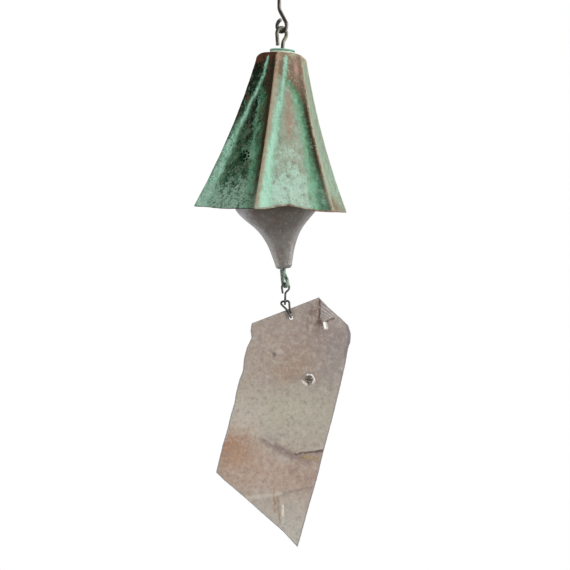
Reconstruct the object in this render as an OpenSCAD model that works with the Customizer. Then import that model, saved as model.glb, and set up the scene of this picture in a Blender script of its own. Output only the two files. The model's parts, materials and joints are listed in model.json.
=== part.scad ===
/* [Wire] */
// Diameter of the heavy wire of the hanger, the bell hook and the clapper wire
heavy_wire_d = 3.2; // [2.8:0.1:3.6]
// Diameter of the light wire of the two lower links
light_wire_d = 1.8; // [1.5:0.1:2.1]
// Air between two wires that hang in each other
link_gap = 0.2; // [0.1:0.05:0.3]
// Air where a wire comes back beside itself
close_gap = 0.4; // [0.2:0.1:0.6]

/* [Hanger] */
// Inside diameter of the open hook at the top
top_hook_inside_d = 18; // [15:1:22]
// Bend radius below the top hook
top_neck_r = 12; // [10:1:14]
// Straight leg at the open end of the top hook
top_leg = 8; // [5:1:11]
// Straight shank between the top hook and the eye
hanger_shank = 26; // [18:1:40]
// Inside diameter of the eyes bent in the heavy wire
eye_inside_d = 7.2; // [6.6:0.1:8]
// Distance of the hanger's eye from the line of its shank
eye_offset = 2.9; // [2:0.1:3.4]
// Bend radius where a shank turns out to its eye or hook
neck_r = 8; // [7:0.5:9]

/* [Bell hook] */
// Inside diameter of the hooks bent in the heavy wire
hook_inside_d = 7.2; // [6.6:0.1:8]
// Distance of the hook's middle from the line of its stem
hook_offset = 1.9; // [1.4:0.1:2.4]
// Straight leg at the open end of the bell hook
hook_leg = 9.6; // [7:0.2:10.6]
// Bare stem between the hook's bend and the crown cap
stem_bare = 4.2; // [3.8:0.2:6]
// Bend radius of the stem below the crown
inner_neck_r = 5; // [4:0.5:6]
// Radial air between a wire and the hole that it turns in
bore_clearance = 0.1; // [0.04:0.02:0.1]

/* [Crown] */
// Diameter of the cap on the crown
cap_d = 21.6; // [19:0.2:25]
// Thickness of the cap's disc
cap_disc_t = 1.6; // [1:0.1:2]
// Height of the foot that the cap's disc stands on
cap_foot_h = 2.1; // [1.4:0.1:2.6]
// Diameter of the washer under the crown
washer_d = 15; // [12:0.5:17]
// Thickness of the washer under the crown
washer_t = 1.2; // [0.8:0.1:1.6]

/* [Bell] */
// Height of the bell from crown to mouth
bell_h = 132.4; // [125:0.2:145]
// Radius over the ridges at the mouth
mouth_r = 68.2; // [62:0.1:72]
// Radius over the ridges under the rounded shoulder
shoulder_r = 23; // [21:0.5:25]
// Height of the rounded shoulder
shoulder_h = 7; // [5:0.5:9]
// Radius of the flat on the crown
crown_flat_r = 14.5; // [13:0.5:16]
// Thickness of the crown
crown_t = 5; // [4:0.5:7]
// Thickness of the cast wall
bell_wall = 3.2; // [2.6:0.1:4]
// Bevel of the lip
lip_bevel = 0.9; // [0.5:0.1:1.4]
// Height of the arch that is cut in the front panel's rim
rim_arch = 3.8; // [0:0.2:6]

/* [Clapper] */
// Height of the clapper from tip to rim
clapper_h = 59; // [54:1:62]
// Greatest radius of the clapper
clapper_r = 37.6; // [33:0.2:39]
// Radius of the waist of the flare
waist_r = 20.8; // [18:0.2:24]
// Height of the waist above the tip
waist_h = 35.5; // [32:0.5:38]
// Radius of the flat tip
tip_flat_r = 4.3; // [4:0.1:5]
// Radius above the rounded edge of the tip
tip_r = 7.2; // [6.6:0.1:8]
// Height of the rounded edge of the tip
tip_round_h = 3.4; // [2:0.1:3.6]
// Height of the solid metal round the hole in the tip
tip_solid_h = 16; // [12:0.5:20]
// Thickness of the clapper's wall
clapper_wall = 3; // [2.4:0.1:3.6]

/* [Clapper wire] */
// Distance from the inner eye down to the kink of the wire
kink_drop = 139.8; // [132:0.2:150]
// Height of the kink above the clapper's tip
kink_h = 22; // [19:0.5:28]
// Bend radius of the kink
kink_r = 20; // [12:1:30]
// Straight wire between the tip and the loop's bend
loop_lead = 2.2; // [1.6:0.2:3]
// Bend radius at the top of the loop
loop_neck_r = 10; // [8:0.5:12]
// Mean radius of the round end of the loop
loop_r = 3.6; // [3.5:0.1:4.2]

/* [Lower links] */
// Mean radius of the lower hook's upper bend
link_hook_r = 3.5; // [3.2:0.1:4]
// Bend radius of the lower hook's necks
link_neck_r = 3.4; // [3:0.1:4]
// Straight leg at the open end of the lower hook
link_leg = 4.6; // [3.6:0.2:5.4]
// Straight stem between the lower hook's two bends
link_stem = 1; // [0.6:0.1:2]
// Mean radius of the lower hook's bottom bend
link_eye_r = 2.4; // [2.3:0.1:2.8]
// Bend radius at the dip of the heart-shaped link
dip_r = 1.8; // [1.6:0.1:2.2]
// Bend radius of the lobes of the heart-shaped link
lobe_r = 1.7; // [1.5:0.1:2]
// Distance from the dip to the foot of the heart
heart_h = 7.1; // [6.6:0.1:8]
// Distance of the heart's foot from the line through its dip
foot_offset = 2.1; // [1:0.1:2.2]
// Length of the link's legs from the heart to the hole
leg_run = 5.4; // [4.6:0.1:7]
// Length of the wire's end behind the sail
tail_run = 4.4; // [3:0.2:6]

/* [Sail] */
// Width of the sail
sail_w = 114.9; // [100:0.1:125]
// Height of the sail from its peak to its point
sail_h = 212.5; // [190:0.5:230]
// Thickness of the sail
sail_t = 1.8; // [1.5:0.1:2.2]
// Diameter of the hole that the sail hangs by
sail_hole_d = 4; // [3.6:0.1:5]
// Diameter of the hammered boss's raised rim
boss_d = 9.4; // [7:0.2:12]
// Height of the boss's raised rim above the face
boss_rim = 0.8; // [0.4:0.1:1]
// Depth of the hollow in the boss below the face
boss_depth = 0.8; // [0.4:0.1:1]
// Length of the slit near the peak
slit_l = 6; // [4:0.2:8]
// Width of the slit near the peak
slit_w = 1.7; // [1.2:0.1:2.4]

/* [Hidden] */
$fn = 48;
cut_overrun = 1;
// A bend draws the wire a little thinner, and the straight wire laps over the bend
bend_thinning = 0.01;
bend_lap = 0.1;

// Angles of the bends, seen in the plane of each bend
top_neck_angle = 40;
top_flare_angle = 15;
eye_neck_angle = 33;
hook_neck_angle = 32;
hook_curl_angle = 10;
inner_neck_angle = 55;
loop_neck_angle = 36;
link_neck_angle = 52;
link_curl_angle = 12;
link_eye_neck_angle = 50;
link_eye_rise_angle = 200;
dip_angle = 30;
leg_angle = 21.7;

// Turn of each bend's plane from the front view
hanger_turn = -40;
hook_turn = 40;
loop_turn = -57;
lower_hook_turn = 28;

// Lean of each hanging piece in the front view, top to the right above zero
bell_lean = 3.6;
wire_lean = -0.33;
clapper_lean = -5.25;
lower_hook_lean = 2;
heart_lean = -6;

// Radii of the wires' middle lines
top_hook_r = (top_hook_inside_d + heavy_wire_d) / 2;
eye_r = (eye_inside_d + heavy_wire_d) / 2;
hook_r = (hook_inside_d + heavy_wire_d) / 2;

// Straight run that brings a bend of radius r beside a shank, at distance out from its line
function neck_run(r, neck, angle, out) =
    (out + r * cos(angle) - neck * (1 - cos(angle))) / sin(angle);
// Distance along the shank from where the neck starts to the middle of the bend
function neck_rise(r, neck, angle, out) =
    (neck + r) * sin(angle) + neck_run(r, neck, angle, out) * cos(angle);
// Turn of an eye that closes beside its own neck
function closed_turn(r, d) = 360 - acos(1 - (d + close_gap) / r);

top_rise = neck_rise(top_hook_r, top_neck_r, top_neck_angle, 0);
eye_rise = neck_rise(eye_r, neck_r, eye_neck_angle, eye_offset);
hook_rise = neck_rise(hook_r, neck_r, hook_neck_angle, -hook_offset);
inner_rise = neck_rise(eye_r, inner_neck_r, inner_neck_angle, 0);
wire_hook_rise = neck_rise(hook_r, neck_r, hook_neck_angle, 0);
loop_rise = neck_rise(loop_r, loop_neck_r, loop_neck_angle, 0);
link_hook_rise = neck_rise(link_hook_r, link_neck_r, link_neck_angle, 0);
link_eye_rise = neck_rise(link_eye_r, link_neck_r, link_eye_neck_angle, 0);

// Distance between the middle lines of two wires that hang in each other
heavy_step = heavy_wire_d + link_gap;
mixed_step = (heavy_wire_d + light_wire_d) / 2 + link_gap;
light_step = light_wire_d + link_gap;

// Hanger, measured down from the inside of the top hook
top_neck_z = heavy_wire_d / 2 - top_hook_r - top_rise;
eye_neck_z = top_neck_z - hanger_shank;
eye_bottom = [eye_offset * cos(hanger_turn), eye_offset * sin(hanger_turn), eye_neck_z - eye_rise - eye_r];

// Bell hook, measured from the middle of the eye's wire
hook_neck_z = heavy_step - hook_r - hook_rise;
cap_t = cap_foot_h + cap_disc_t;
crown_z = hook_neck_z - stem_bare - cap_t;
stem_at = [hook_offset * cos(hook_turn), hook_offset * sin(hook_turn), crown_z];
// The rest is measured down from the top of the crown
inner_neck_z = -crown_t - washer_t - link_gap;
inner_eye_z = inner_neck_z - inner_rise - eye_r;

// Clapper wire, measured from the middle of the inner eye's wire
wire_neck_z = heavy_step - hook_r - wire_hook_rise;
kink_angle = wire_lean - clapper_lean;
kink_half = kink_r * tan(kink_angle / 2);
loop_drop = loop_lead + loop_rise + loop_r;

// Lower hook, measured from the middle of the loop's wire
link_neck_z = mixed_step - link_hook_r - link_hook_rise;
link_eye_neck_z = link_neck_z - link_stem;
link_bottom_z = link_eye_neck_z - link_eye_rise - link_eye_r;
dip_z = link_bottom_z + light_step;

// Heart-shaped link, measured from the middle of its wire at the dip
lobe_x = (dip_r + lobe_r) * sin(dip_angle);
lobe_z = dip_r * (1 - cos(dip_angle)) - lobe_r * cos(dip_angle);
strand_gap = light_wire_d + close_gap;
// Straight flank from a lobe to a foot: way across and down, then its angle and its run
function flank_way(out) = [lobe_x + out - strand_gap / 2, lobe_z + heart_h];
function flank_angle(out) =
    atan2(flank_way(out)[0], flank_way(out)[1]) + asin(lobe_r / norm(flank_way(out)));
function flank_run(out) = sqrt(pow(norm(flank_way(out)), 2) - pow(lobe_r, 2));
near_angle = flank_angle(foot_offset);
far_angle = flank_angle(-foot_offset);
near_bend = lobe_r * tan(abs(near_angle - leg_angle) / 2);
far_bend = lobe_r * tan((far_angle + leg_angle) / 2);
clip_r = (sail_t + light_wire_d) / 2 + link_gap;
clip_at = [
    foot_offset - strand_gap / 2 + (leg_run + clip_r) * sin(leg_angle),
    clip_r,
    -heart_h - (leg_run + clip_r) * cos(leg_angle)
];

// Sail
hole_x_share = 0.557;
hole_z_share = 0.084;
clip_sag = clip_r - sqrt(clip_r * clip_r - sail_t * sail_t / 4);
hole_drop = sail_hole_d / 2 - light_wire_d / 2 - clip_sag - link_gap;
boss_at_share = [0.688, 0.33];
slit_at_share = [0.806, 0.112];
slit_tilt = 12;
// The sail's corners, across its width from the left and down its height from the peak
sail_outline_shares = [
    [0.762, 0], [0.846, 0.046], [0.929, 0.085], [0.98, 0.112], [1, 0.145], [0.996, 0.178],
    [0.98, 0.204], [0.956, 0.276], [0.915, 0.372], [0.86, 0.492], [0.8, 0.612], [0.746, 0.732],
    [0.681, 0.852], [0.621, 0.972], [0.604, 1], [0.494, 0.936], [0.367, 0.876], [0.218, 0.804],
    [0.061, 0.732], [0, 0.7], [0.024, 0.648], [0.046, 0.596], [0.084, 0.528], [0.11, 0.468],
    [0.136, 0.424], [0.147, 0.384], [0.169, 0.336], [0.199, 0.292], [0.207, 0.244],
    [0.229, 0.2], [0.263, 0.162], [0.255, 0.132], [0.264, 0.104]
];

// Outlines of the cap and the boss, as shares of their diameters, and the bevel of the cap's disc
cap_neck_share = 0.92;
cap_foot_share = 1.08;
cap_bevel_share = 0.3;
boss_inner_share = 0.34;
boss_lip_share = 0.42;
boss_foot_share = 0.58;

// Bell casting: six panels between rounded ridges, each with two flutes and a low middle
panels = 6;
ridge_turn = -11.5;
half_panel = 180 / panels;
steps_per_half = 6;
crowding = 1.5;
shoulder_rings = 4;
wall_rings = 13;
inner_rings = 11;
flare_share = 0.33;
flute_share = 0.062;
ridge_share = 0.15;
ridge_round_share = 0.06;
middle_share = 0.45;
inner_flat_share = 0.8;
rim_slant = 2.6;
// Direction in which the slanted rim rises the most
slant_turn = 64;
// The arch's peak lies a little left of the panel's middle, and its foot is slack
arch_shift_share = 0.82;
arch_power = 3;
// How much of the arch each panel's rim has, from the panel right of the front ridge on
arch_shares = [1, 0.15, 0.35, 0.5, 0.3, -0.25];

// Straight wire that laps over the bends at both ends
module straight_wire(d, run, lap_after = bend_lap) {
    translate([0, 0, -bend_lap])
        cylinder(h = run + bend_lap + lap_after, d = d);
}

// Lays a bent wire from the origin upwards: each step rolls, turns on a radius and runs straight
module bent_wire(d, steps, i = 0) {
    if (i < len(steps)) {
        roll = steps[i][0];
        radius = steps[i][1];
        turn = steps[i][2];
        run = steps[i][3];
        side = turn < 0 ? 180 : 0;
        last = i == len(steps) - 1;
        rotate([0, 0, roll + side]) {
            if (turn != 0)
                translate([radius, 0, 0])
                    rotate([90, 0, 180])
                        rotate_extrude(angle = abs(turn))
                            translate([radius, 0])
                                circle(d = d - 2 * bend_thinning);
            translate([radius, 0, 0])
                rotate([0, abs(turn), 0])
                    translate([-radius, 0, 0]) {
                        if (run > 0 || !last)
                            straight_wire(d, run, last ? 0 : bend_lap);
                        translate([0, 0, run])
                            rotate([0, 0, -side])
                                bent_wire(d, steps, i + 1);
                    }
        }
    }
}

// Steps of an end that bends out from a shank and back over its line
function end_steps(roll, r, neck, angle, out, turn, leg) = [
    [roll, neck, angle, neck_run(r, neck, angle, out)],
    [0, r, -turn, leg]
];

// Frames of the hanging pieces, each at the wire that it hangs on
module at_hook() {
    translate(eye_bottom)
        rotate([0, bell_lean, 0])
            children();
}

module at_bell() {
    at_hook()
        translate(stem_at)
            children();
}

module at_clapper_wire() {
    at_bell()
        translate([0, 0, inner_eye_z])
            rotate([0, wire_lean - bell_lean, 0])
                children();
}

module at_clapper() {
    at_clapper_wire()
        translate([0, 0, -kink_drop])
            rotate([0, clapper_lean - wire_lean, 0])
                translate([0, 0, -kink_h])
                    children();
}

module at_lower_hook() {
    at_clapper()
        translate([0, 0, -loop_drop])
            rotate([0, lower_hook_lean - clapper_lean, 0])
                children();
}

module at_link() {
    at_lower_hook()
        translate([0, 0, dip_z])
            rotate([0, heart_lean - lower_hook_lean, 0])
                children();
}

module at_sail() {
    at_link()
        translate(clip_at)
            rotate([0, -heart_lean, 0])
                children();
}

// Steel-dark wire with an open hook above and a closed eye below, bent in one plane
module hanger_wire() {
    color("#3a3630") {
        translate([0, 0, top_neck_z])
            bent_wire(heavy_wire_d, end_steps(hanger_turn, top_hook_r, top_neck_r, top_neck_angle, 0,
                180 + top_neck_angle - top_flare_angle, top_leg));
        translate([0, 0, eye_neck_z])
            straight_wire(heavy_wire_d, hanger_shank);
        translate([0, 0, eye_neck_z])
            rotate([180, 0, 0])
                bent_wire(heavy_wire_d, end_steps(-hanger_turn, eye_r, neck_r, eye_neck_angle, eye_offset,
                    closed_turn(eye_r, heavy_wire_d), 0));
    }
}

// Hook, stem and inner eye in one wire: it carries the bell on its shoulder and the clapper in its eye
module bell_hook() {
    color("#5a5142")
        at_bell() {
            translate([0, 0, hook_neck_z - crown_z])
                bent_wire(heavy_wire_d, end_steps(hook_turn, hook_r, neck_r, hook_neck_angle, -hook_offset,
                    180 + hook_neck_angle + hook_curl_angle, hook_leg));
            translate([0, 0, inner_neck_z])
                straight_wire(heavy_wire_d, hook_neck_z - crown_z - inner_neck_z);
            translate([0, 0, inner_neck_z])
                rotate([180, 0, 0])
                    bent_wire(heavy_wire_d, end_steps(-hook_turn, eye_r, inner_neck_r, inner_neck_angle, 0,
                        closed_turn(eye_r, heavy_wire_d), 0));
        }
}

// Thin disc on a low spreading foot, pressed in one, that sits on the crown's flat
module crown_cap() {
    disc_r = cap_d / 2;
    bevel = cap_disc_t * cap_bevel_share;
    color("#8fbf9f")
        at_bell()
            difference() {
                rotate_extrude()
                    polygon([[0, 0], [disc_r * cap_foot_share, 0], [disc_r * cap_neck_share, cap_foot_h],
                        [disc_r - bevel, cap_foot_h], [disc_r, cap_foot_h + bevel],
                        [disc_r, cap_t - bevel], [disc_r - bevel, cap_t], [0, cap_t]]);
                translate([0, 0, -cut_overrun])
                    cylinder(h = cap_t + 2 * cut_overrun, d = heavy_wire_d + 2 * bore_clearance);
            }
}

// Washer between the crown's underside and the shoulder of the hook's inner eye
module inner_washer() {
    color("#8a6a4a")
        at_bell()
            translate([0, 0, -crown_t - washer_t])
                difference() {
                    cylinder(h = washer_t, d = washer_d);
                    translate([0, 0, -cut_overrun])
                        cylinder(h = washer_t + 2 * cut_overrun, d = heavy_wire_d + 2 * bore_clearance);
                }
}

// Radius over the ridges at a depth below the crown
function ridge_r(depth) =
    let (down = (depth - shoulder_h) / (bell_h - shoulder_h))
    shoulder_r + (mouth_r - shoulder_r) * (down * (1 - flare_share) + flare_share * down * down);
// Distance from the nearest ridge, 0 on the ridge and 1 in mid panel, rounded off at the ridge
function off_ridge(share) =
    (norm([share, ridge_round_share]) - ridge_round_share)
        / (norm([1, ridge_round_share]) - ridge_round_share);
// Share of the ridge's radius that a hexagon's flat side has
function chord(share) = cos(half_panel) / cos(half_panel * (1 - share));
// Depth of the flute beside the ridge, 0 on the ridge and at most 1
function flute(share) =
    (1 - exp(-pow(share / ridge_share, 2))) * (1 - middle_share * (1 - cos(180 * share)) / 2);
// Share of the ridge's radius at a place across the panel, with the form blended in below the crown
function section(share, form) =
    let (s = off_ridge(share))
    1 - form * (1 - chord(s)) - form * flute_share * flute(s);
// Place across the half panel of the k-th point, crowded towards the ridge
function across(k) = pow(k / steps_per_half, crowding);

// Points round one ring: [distance from the ridge, angle, panel, share of the way over the panel]
ring_places = [for (p = [0:panels - 1]) for (k = [0:2 * steps_per_half - 1])
    let (w = k <= steps_per_half ? across(k) : across(2 * steps_per_half - k),
         way = k <= steps_per_half ? w / 2 : 1 - w / 2)
    [w, ridge_turn - 90 + (p + way) * 2 * half_panel, p, way]];
// Depth of the rim at each place, with the slant of the cast mouth and the arches of the panels
rim_depths = [for (q = ring_places)
    bell_h - ridge_r(bell_h) * section(q[0], 1) * cos(q[1] - slant_turn) * tan(rim_slant)
        - rim_arch * arch_shares[q[2]] * pow(sin(180 * pow(q[3], arch_shift_share)), arch_power)];

function on_ring(place, radius, depth) = [radius * cos(place[1]), radius * sin(place[1]), -depth];
function wall_depth(i, share) = shoulder_h + (rim_depths[i] - shoulder_h) * share;
function outer_ring(share, in) = [for (i = [0:len(ring_places) - 1])
    let (q = ring_places[i], depth = wall_depth(i, share) - in)
    on_ring(q, ridge_r(depth) * section(q[0], 1), depth)];
function inner_ring(share) = [for (i = [0:len(ring_places) - 1])
    let (q = ring_places[i], top = crown_t + shoulder_h, depth = top + (rim_depths[i] - top) * share)
    on_ring(q, ridge_r(depth) * section(q[0], 1) - bell_wall, depth)];
function shoulder_ring(a) = [for (q = ring_places)
    let (r = crown_flat_r + (shoulder_r - crown_flat_r) * sin(a))
    on_ring(q, r * section(q[0], sin(a)), shoulder_h * (1 - cos(a)))];
function inner_shoulder_ring(a) = [for (q = ring_places)
    let (top = crown_t + shoulder_h, flat = crown_flat_r * inner_flat_share,
         wall = ridge_r(top) * section(q[0], 1) - bell_wall)
    on_ring(q, flat + (wall - flat) * sin(a), crown_t + shoulder_h * (1 - cos(a)))];
lip_ring = [for (i = [0:len(ring_places) - 1])
    let (q = ring_places[i], depth = rim_depths[i])
    on_ring(q, ridge_r(depth) * section(q[0], 1) - lip_bevel, depth)];

bell_rings = concat(
    [for (j = [0:shoulder_rings]) shoulder_ring(90 * j / shoulder_rings)],
    [for (j = [1:wall_rings]) outer_ring(j / wall_rings, j == wall_rings ? lip_bevel : 0)],
    [lip_ring],
    [for (j = [0:inner_rings]) inner_ring(1 - j / inner_rings)],
    [for (j = [1:shoulder_rings]) inner_shoulder_ring(90 - 90 * j / shoulder_rings)]);

// Closed skin through a list of rings, with a fan over the first and the last
module ring_skin(rings) {
    n = len(rings[0]);
    last = len(rings) - 1;
    top = (last + 1) * n;
    points = concat([for (ring = rings) for (p = ring) p],
        [[0, 0, rings[0][0][2]], [0, 0, rings[last][0][2]]]);
    sides = [for (j = [0:last - 1]) for (i = [0:n - 1])
        let (a = j * n + i, b = j * n + (i + 1) % n)
        for (f = [[a, b, a + n], [b, b + n, a + n]]) f];
    caps = [for (i = [0:n - 1])
        let (k = (i + 1) % n)
        for (f = [[top, k, i], [top + 1, last * n + i, last * n + k]]) f];
    polyhedron(points = points, faces = concat(sides, caps), convexity = 10);
}

// Cast six-sided bell with rounded ridges, flutes beside them, a thin wall and a drilled crown
module bell_shell() {
    color("#5fa583")
        at_bell()
            difference() {
                ring_skin(bell_rings);
                translate([0, 0, -crown_t - cut_overrun])
                    cylinder(h = crown_t + 2 * cut_overrun, d = heavy_wire_d + 2 * bore_clearance);
            }
}

// Hook over the inner eye, long shank with a kink above the clapper, and a loop that carries the clapper
module clapper_wire() {
    shank = kink_drop + wire_neck_z - kink_half;
    strand = kink_h - kink_half + loop_lead;
    color("#4c5a4c")
        at_clapper_wire() {
            translate([0, 0, wire_neck_z])
                bent_wire(heavy_wire_d, end_steps(loop_turn, hook_r, neck_r, hook_neck_angle, 0,
                    180 + hook_neck_angle + hook_curl_angle, hook_leg));
            translate([0, 0, wire_neck_z])
                rotate([180, 0, 0])
                    bent_wire(heavy_wire_d, concat(
                        [[0, 0, 0, shank], [0, kink_r, kink_angle, strand]],
                        end_steps(-loop_turn, loop_r, loop_neck_r, loop_neck_angle, 0,
                            180 + loop_neck_angle, loop_lead + loop_rise - link_gap)));
        }
}

function bezier(p, t) =
    pow(1 - t, 3) * p[0] + 3 * pow(1 - t, 2) * t * p[1] + 3 * (1 - t) * t * t * p[2] + pow(t, 3) * p[3];
function bezier_way(p, t) =
    pow(1 - t, 2) * (p[1] - p[0]) + 2 * (1 - t) * t * (p[2] - p[1]) + t * t * (p[3] - p[2]);
// Point of the curve moved in by the wall's thickness
function walled(p, t, wall) =
    let (way = bezier_way(p, t))
    bezier(p, t) + wall * [-way[1], way[0]] / norm(way);

// Clapper's outline: a slow flare from the tip to the waist, then a wider one that turns up at the rim
tip_angle = 13;
waist_angle = 41;
rim_angle = 8;
lower_handle_share = 0.38;
upper_handle_share = 0.4;
lower_handle = (waist_h - tip_round_h) * lower_handle_share;
upper_handle = (clapper_h - waist_h) * upper_handle_share;
rim_h = clapper_h - clapper_wall / 2;
function slope(angle) = [sin(angle), cos(angle)];
lower_curve = [[tip_r, tip_round_h], [tip_r, tip_round_h] + lower_handle * slope(tip_angle),
    [waist_r, waist_h] - lower_handle * slope(waist_angle), [waist_r, waist_h]];
upper_curve = [[waist_r, waist_h], [waist_r, waist_h] + upper_handle * slope(waist_angle),
    [clapper_r, rim_h] - upper_handle * slope(rim_angle), [clapper_r, rim_h]];
curve_steps = 9;
outer_points = concat(
    [for (j = [0:curve_steps]) bezier(lower_curve, j / curve_steps)],
    [for (j = [1:curve_steps]) bezier(upper_curve, j / curve_steps)]);
inner_points = [for (p = concat(
    [for (j = [0:curve_steps]) walled(upper_curve, 1 - j / curve_steps, clapper_wall)],
    [for (j = [1:curve_steps]) walled(lower_curve, 1 - j / curve_steps, clapper_wall)]))
    if (p[1] > tip_solid_h) p];
floor_r = inner_points[len(inner_points) - 1][0];
rim_middle = [clapper_r - clapper_wall / 2, rim_h];
rim_points = [for (a = [30:30:150]) rim_middle + clapper_wall / 2 * [cos(a), sin(a)]];
tip_points = [for (a = [0:30:60]) [tip_flat_r + (tip_r - tip_flat_r) * sin(a), tip_round_h * (1 - cos(a))]];

// Hollow cast clapper, a trumpet with its mouth up and a drilled solid tip
module clapper() {
    color("#77706c")
        at_clapper()
            difference() {
                rotate_extrude()
                    polygon(concat([[0, 0]], tip_points, outer_points, rim_points, inner_points,
                        [[floor_r, tip_solid_h], [0, tip_solid_h]]));
                translate([0, 0, -cut_overrun])
                    cylinder(h = tip_solid_h + 2 * cut_overrun, d = heavy_wire_d + 2 * bore_clearance);
            }
}

// Open hook above and a nearly closed one below, turned across each other
module lower_hook() {
    color("#2f2f33")
        at_lower_hook() {
            translate([0, 0, link_neck_z])
                bent_wire(light_wire_d, end_steps(lower_hook_turn, link_hook_r, link_neck_r,
                    link_neck_angle, 0, 180 + link_neck_angle + link_curl_angle, link_leg));
            translate([0, 0, link_eye_neck_z])
                straight_wire(light_wire_d, link_stem);
            translate([0, 0, link_eye_neck_z])
                rotate([180, 0, 0])
                    bent_wire(light_wire_d, end_steps(-90, link_eye_r, link_neck_r, link_eye_neck_angle, 0,
                        link_eye_rise_angle + link_eye_neck_angle, 0));
        }
}

// Heart-shaped wire link: one leg clips through the sail's hole, the other ends beside it
module sail_link() {
    color("#2b2a2c")
        at_link() {
            rotate([0, 90, 0])
                bent_wire(light_wire_d, [
                    [0, dip_r, -dip_angle, 0],
                    [0, lobe_r, dip_angle + 90 + far_angle, flank_run(-foot_offset) - far_bend],
                    [0, lobe_r, -far_angle - leg_angle, leg_run - far_bend - clip_r]
                ]);
            rotate([0, -90, 0])
                bent_wire(light_wire_d, [
                    [0, dip_r, dip_angle, 0],
                    [0, lobe_r, -dip_angle - 90 - near_angle, flank_run(foot_offset) - near_bend],
                    [0, lobe_r, near_angle - leg_angle, leg_run - near_bend],
                    [90, clip_r, 180, tail_run]
                ]);
        }
}

function on_sail(share) = [(share[0] - hole_x_share) * sail_w, (hole_z_share - share[1]) * sail_h];

// Cast plate that catches the wind, with its hanging hole, a slit and one hammered boss
module sail() {
    boss_at = on_sail(boss_at_share);
    inner = boss_d * boss_inner_share;
    lip = boss_d * boss_lip_share;
    foot = boss_d * boss_foot_share;
    slit_at = on_sail(slit_at_share);
    color("#9a8c82")
        at_sail()
            translate([0, 0, -hole_drop])
                rotate([90, 0, 0]) {
                    difference() {
                        translate([0, 0, -sail_t / 2])
                            linear_extrude(height = sail_t)
                                polygon([for (share = sail_outline_shares) on_sail(share)]);
                        translate([0, 0, -sail_t / 2 - cut_overrun])
                            cylinder(h = sail_t + 2 * cut_overrun, d = sail_hole_d);
                        translate([slit_at[0], slit_at[1], -sail_t / 2 - cut_overrun])
                            rotate([0, 0, slit_tilt])
                                linear_extrude(height = sail_t + 2 * cut_overrun) {
                                    square([slit_w, slit_l - slit_w], center = true);
                                    for (end = [-1, 1])
                                        translate([0, end * (slit_l - slit_w) / 2])
                                            circle(d = slit_w);
                                }
                        translate([boss_at[0], boss_at[1], sail_t / 2 - boss_depth])
                            cylinder(h = boss_depth + cut_overrun, d1 = boss_d / 2, d2 = boss_d);
                    }
                    translate([boss_at[0], boss_at[1], 0])
                        rotate_extrude()
                            polygon([[inner, 0], [foot, 0], [foot, sail_t / 2],
                                [boss_d / 2, sail_t / 2 + boss_rim], [lip, sail_t / 2 + boss_rim / 2],
                                [inner, sail_t / 2 - boss_depth / 2]]);
                }
}

hanger_wire();
bell_hook();
crown_cap();
bell_shell();
inner_washer();
clapper_wire();
clapper();
lower_hook();
sail_link();
sail();
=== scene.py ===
import json
import math

import bmesh
import bpy
from mathutils import Matrix, Vector, noise


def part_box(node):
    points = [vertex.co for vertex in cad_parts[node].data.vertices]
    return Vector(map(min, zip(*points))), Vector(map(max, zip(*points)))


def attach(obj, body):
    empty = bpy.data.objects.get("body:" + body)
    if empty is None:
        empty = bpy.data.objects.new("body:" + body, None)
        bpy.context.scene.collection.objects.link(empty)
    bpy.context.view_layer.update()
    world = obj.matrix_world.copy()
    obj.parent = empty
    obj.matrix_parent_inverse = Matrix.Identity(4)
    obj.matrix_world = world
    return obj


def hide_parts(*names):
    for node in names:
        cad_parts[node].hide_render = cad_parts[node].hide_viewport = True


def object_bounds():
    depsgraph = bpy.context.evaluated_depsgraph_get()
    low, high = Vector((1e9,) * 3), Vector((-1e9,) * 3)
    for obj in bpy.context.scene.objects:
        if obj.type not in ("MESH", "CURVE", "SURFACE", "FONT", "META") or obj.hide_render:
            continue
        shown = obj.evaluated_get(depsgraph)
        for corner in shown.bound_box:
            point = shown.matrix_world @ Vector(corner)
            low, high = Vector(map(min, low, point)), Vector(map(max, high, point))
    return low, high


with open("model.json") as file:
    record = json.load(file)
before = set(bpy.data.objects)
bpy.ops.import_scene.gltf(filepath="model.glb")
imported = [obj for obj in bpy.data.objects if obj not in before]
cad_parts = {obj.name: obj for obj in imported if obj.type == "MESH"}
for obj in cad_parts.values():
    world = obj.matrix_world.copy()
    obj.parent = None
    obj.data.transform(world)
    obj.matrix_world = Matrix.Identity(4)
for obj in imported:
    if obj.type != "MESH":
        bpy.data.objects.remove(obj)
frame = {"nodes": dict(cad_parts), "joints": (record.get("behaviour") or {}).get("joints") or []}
cad_low, cad_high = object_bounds()


# Hanger wire. A length of heavy bronze rod, bent cold round pegs into an open hook above and a
# nearly closed eye below. Weather has turned it black-brown; its right side is painted a dull grey as a
# highlight, and its left side darker as shade.
# Noise of the finishes: its middle value, how far it is spread before a mask is cut out of it, and how
# much of two grains' stray from the middle stays when they are mixed
GRAIN_MIDDLE = 0.5
GRAIN_SPREAD = 2.4
GRAIN_BLEND = 0.8


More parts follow.
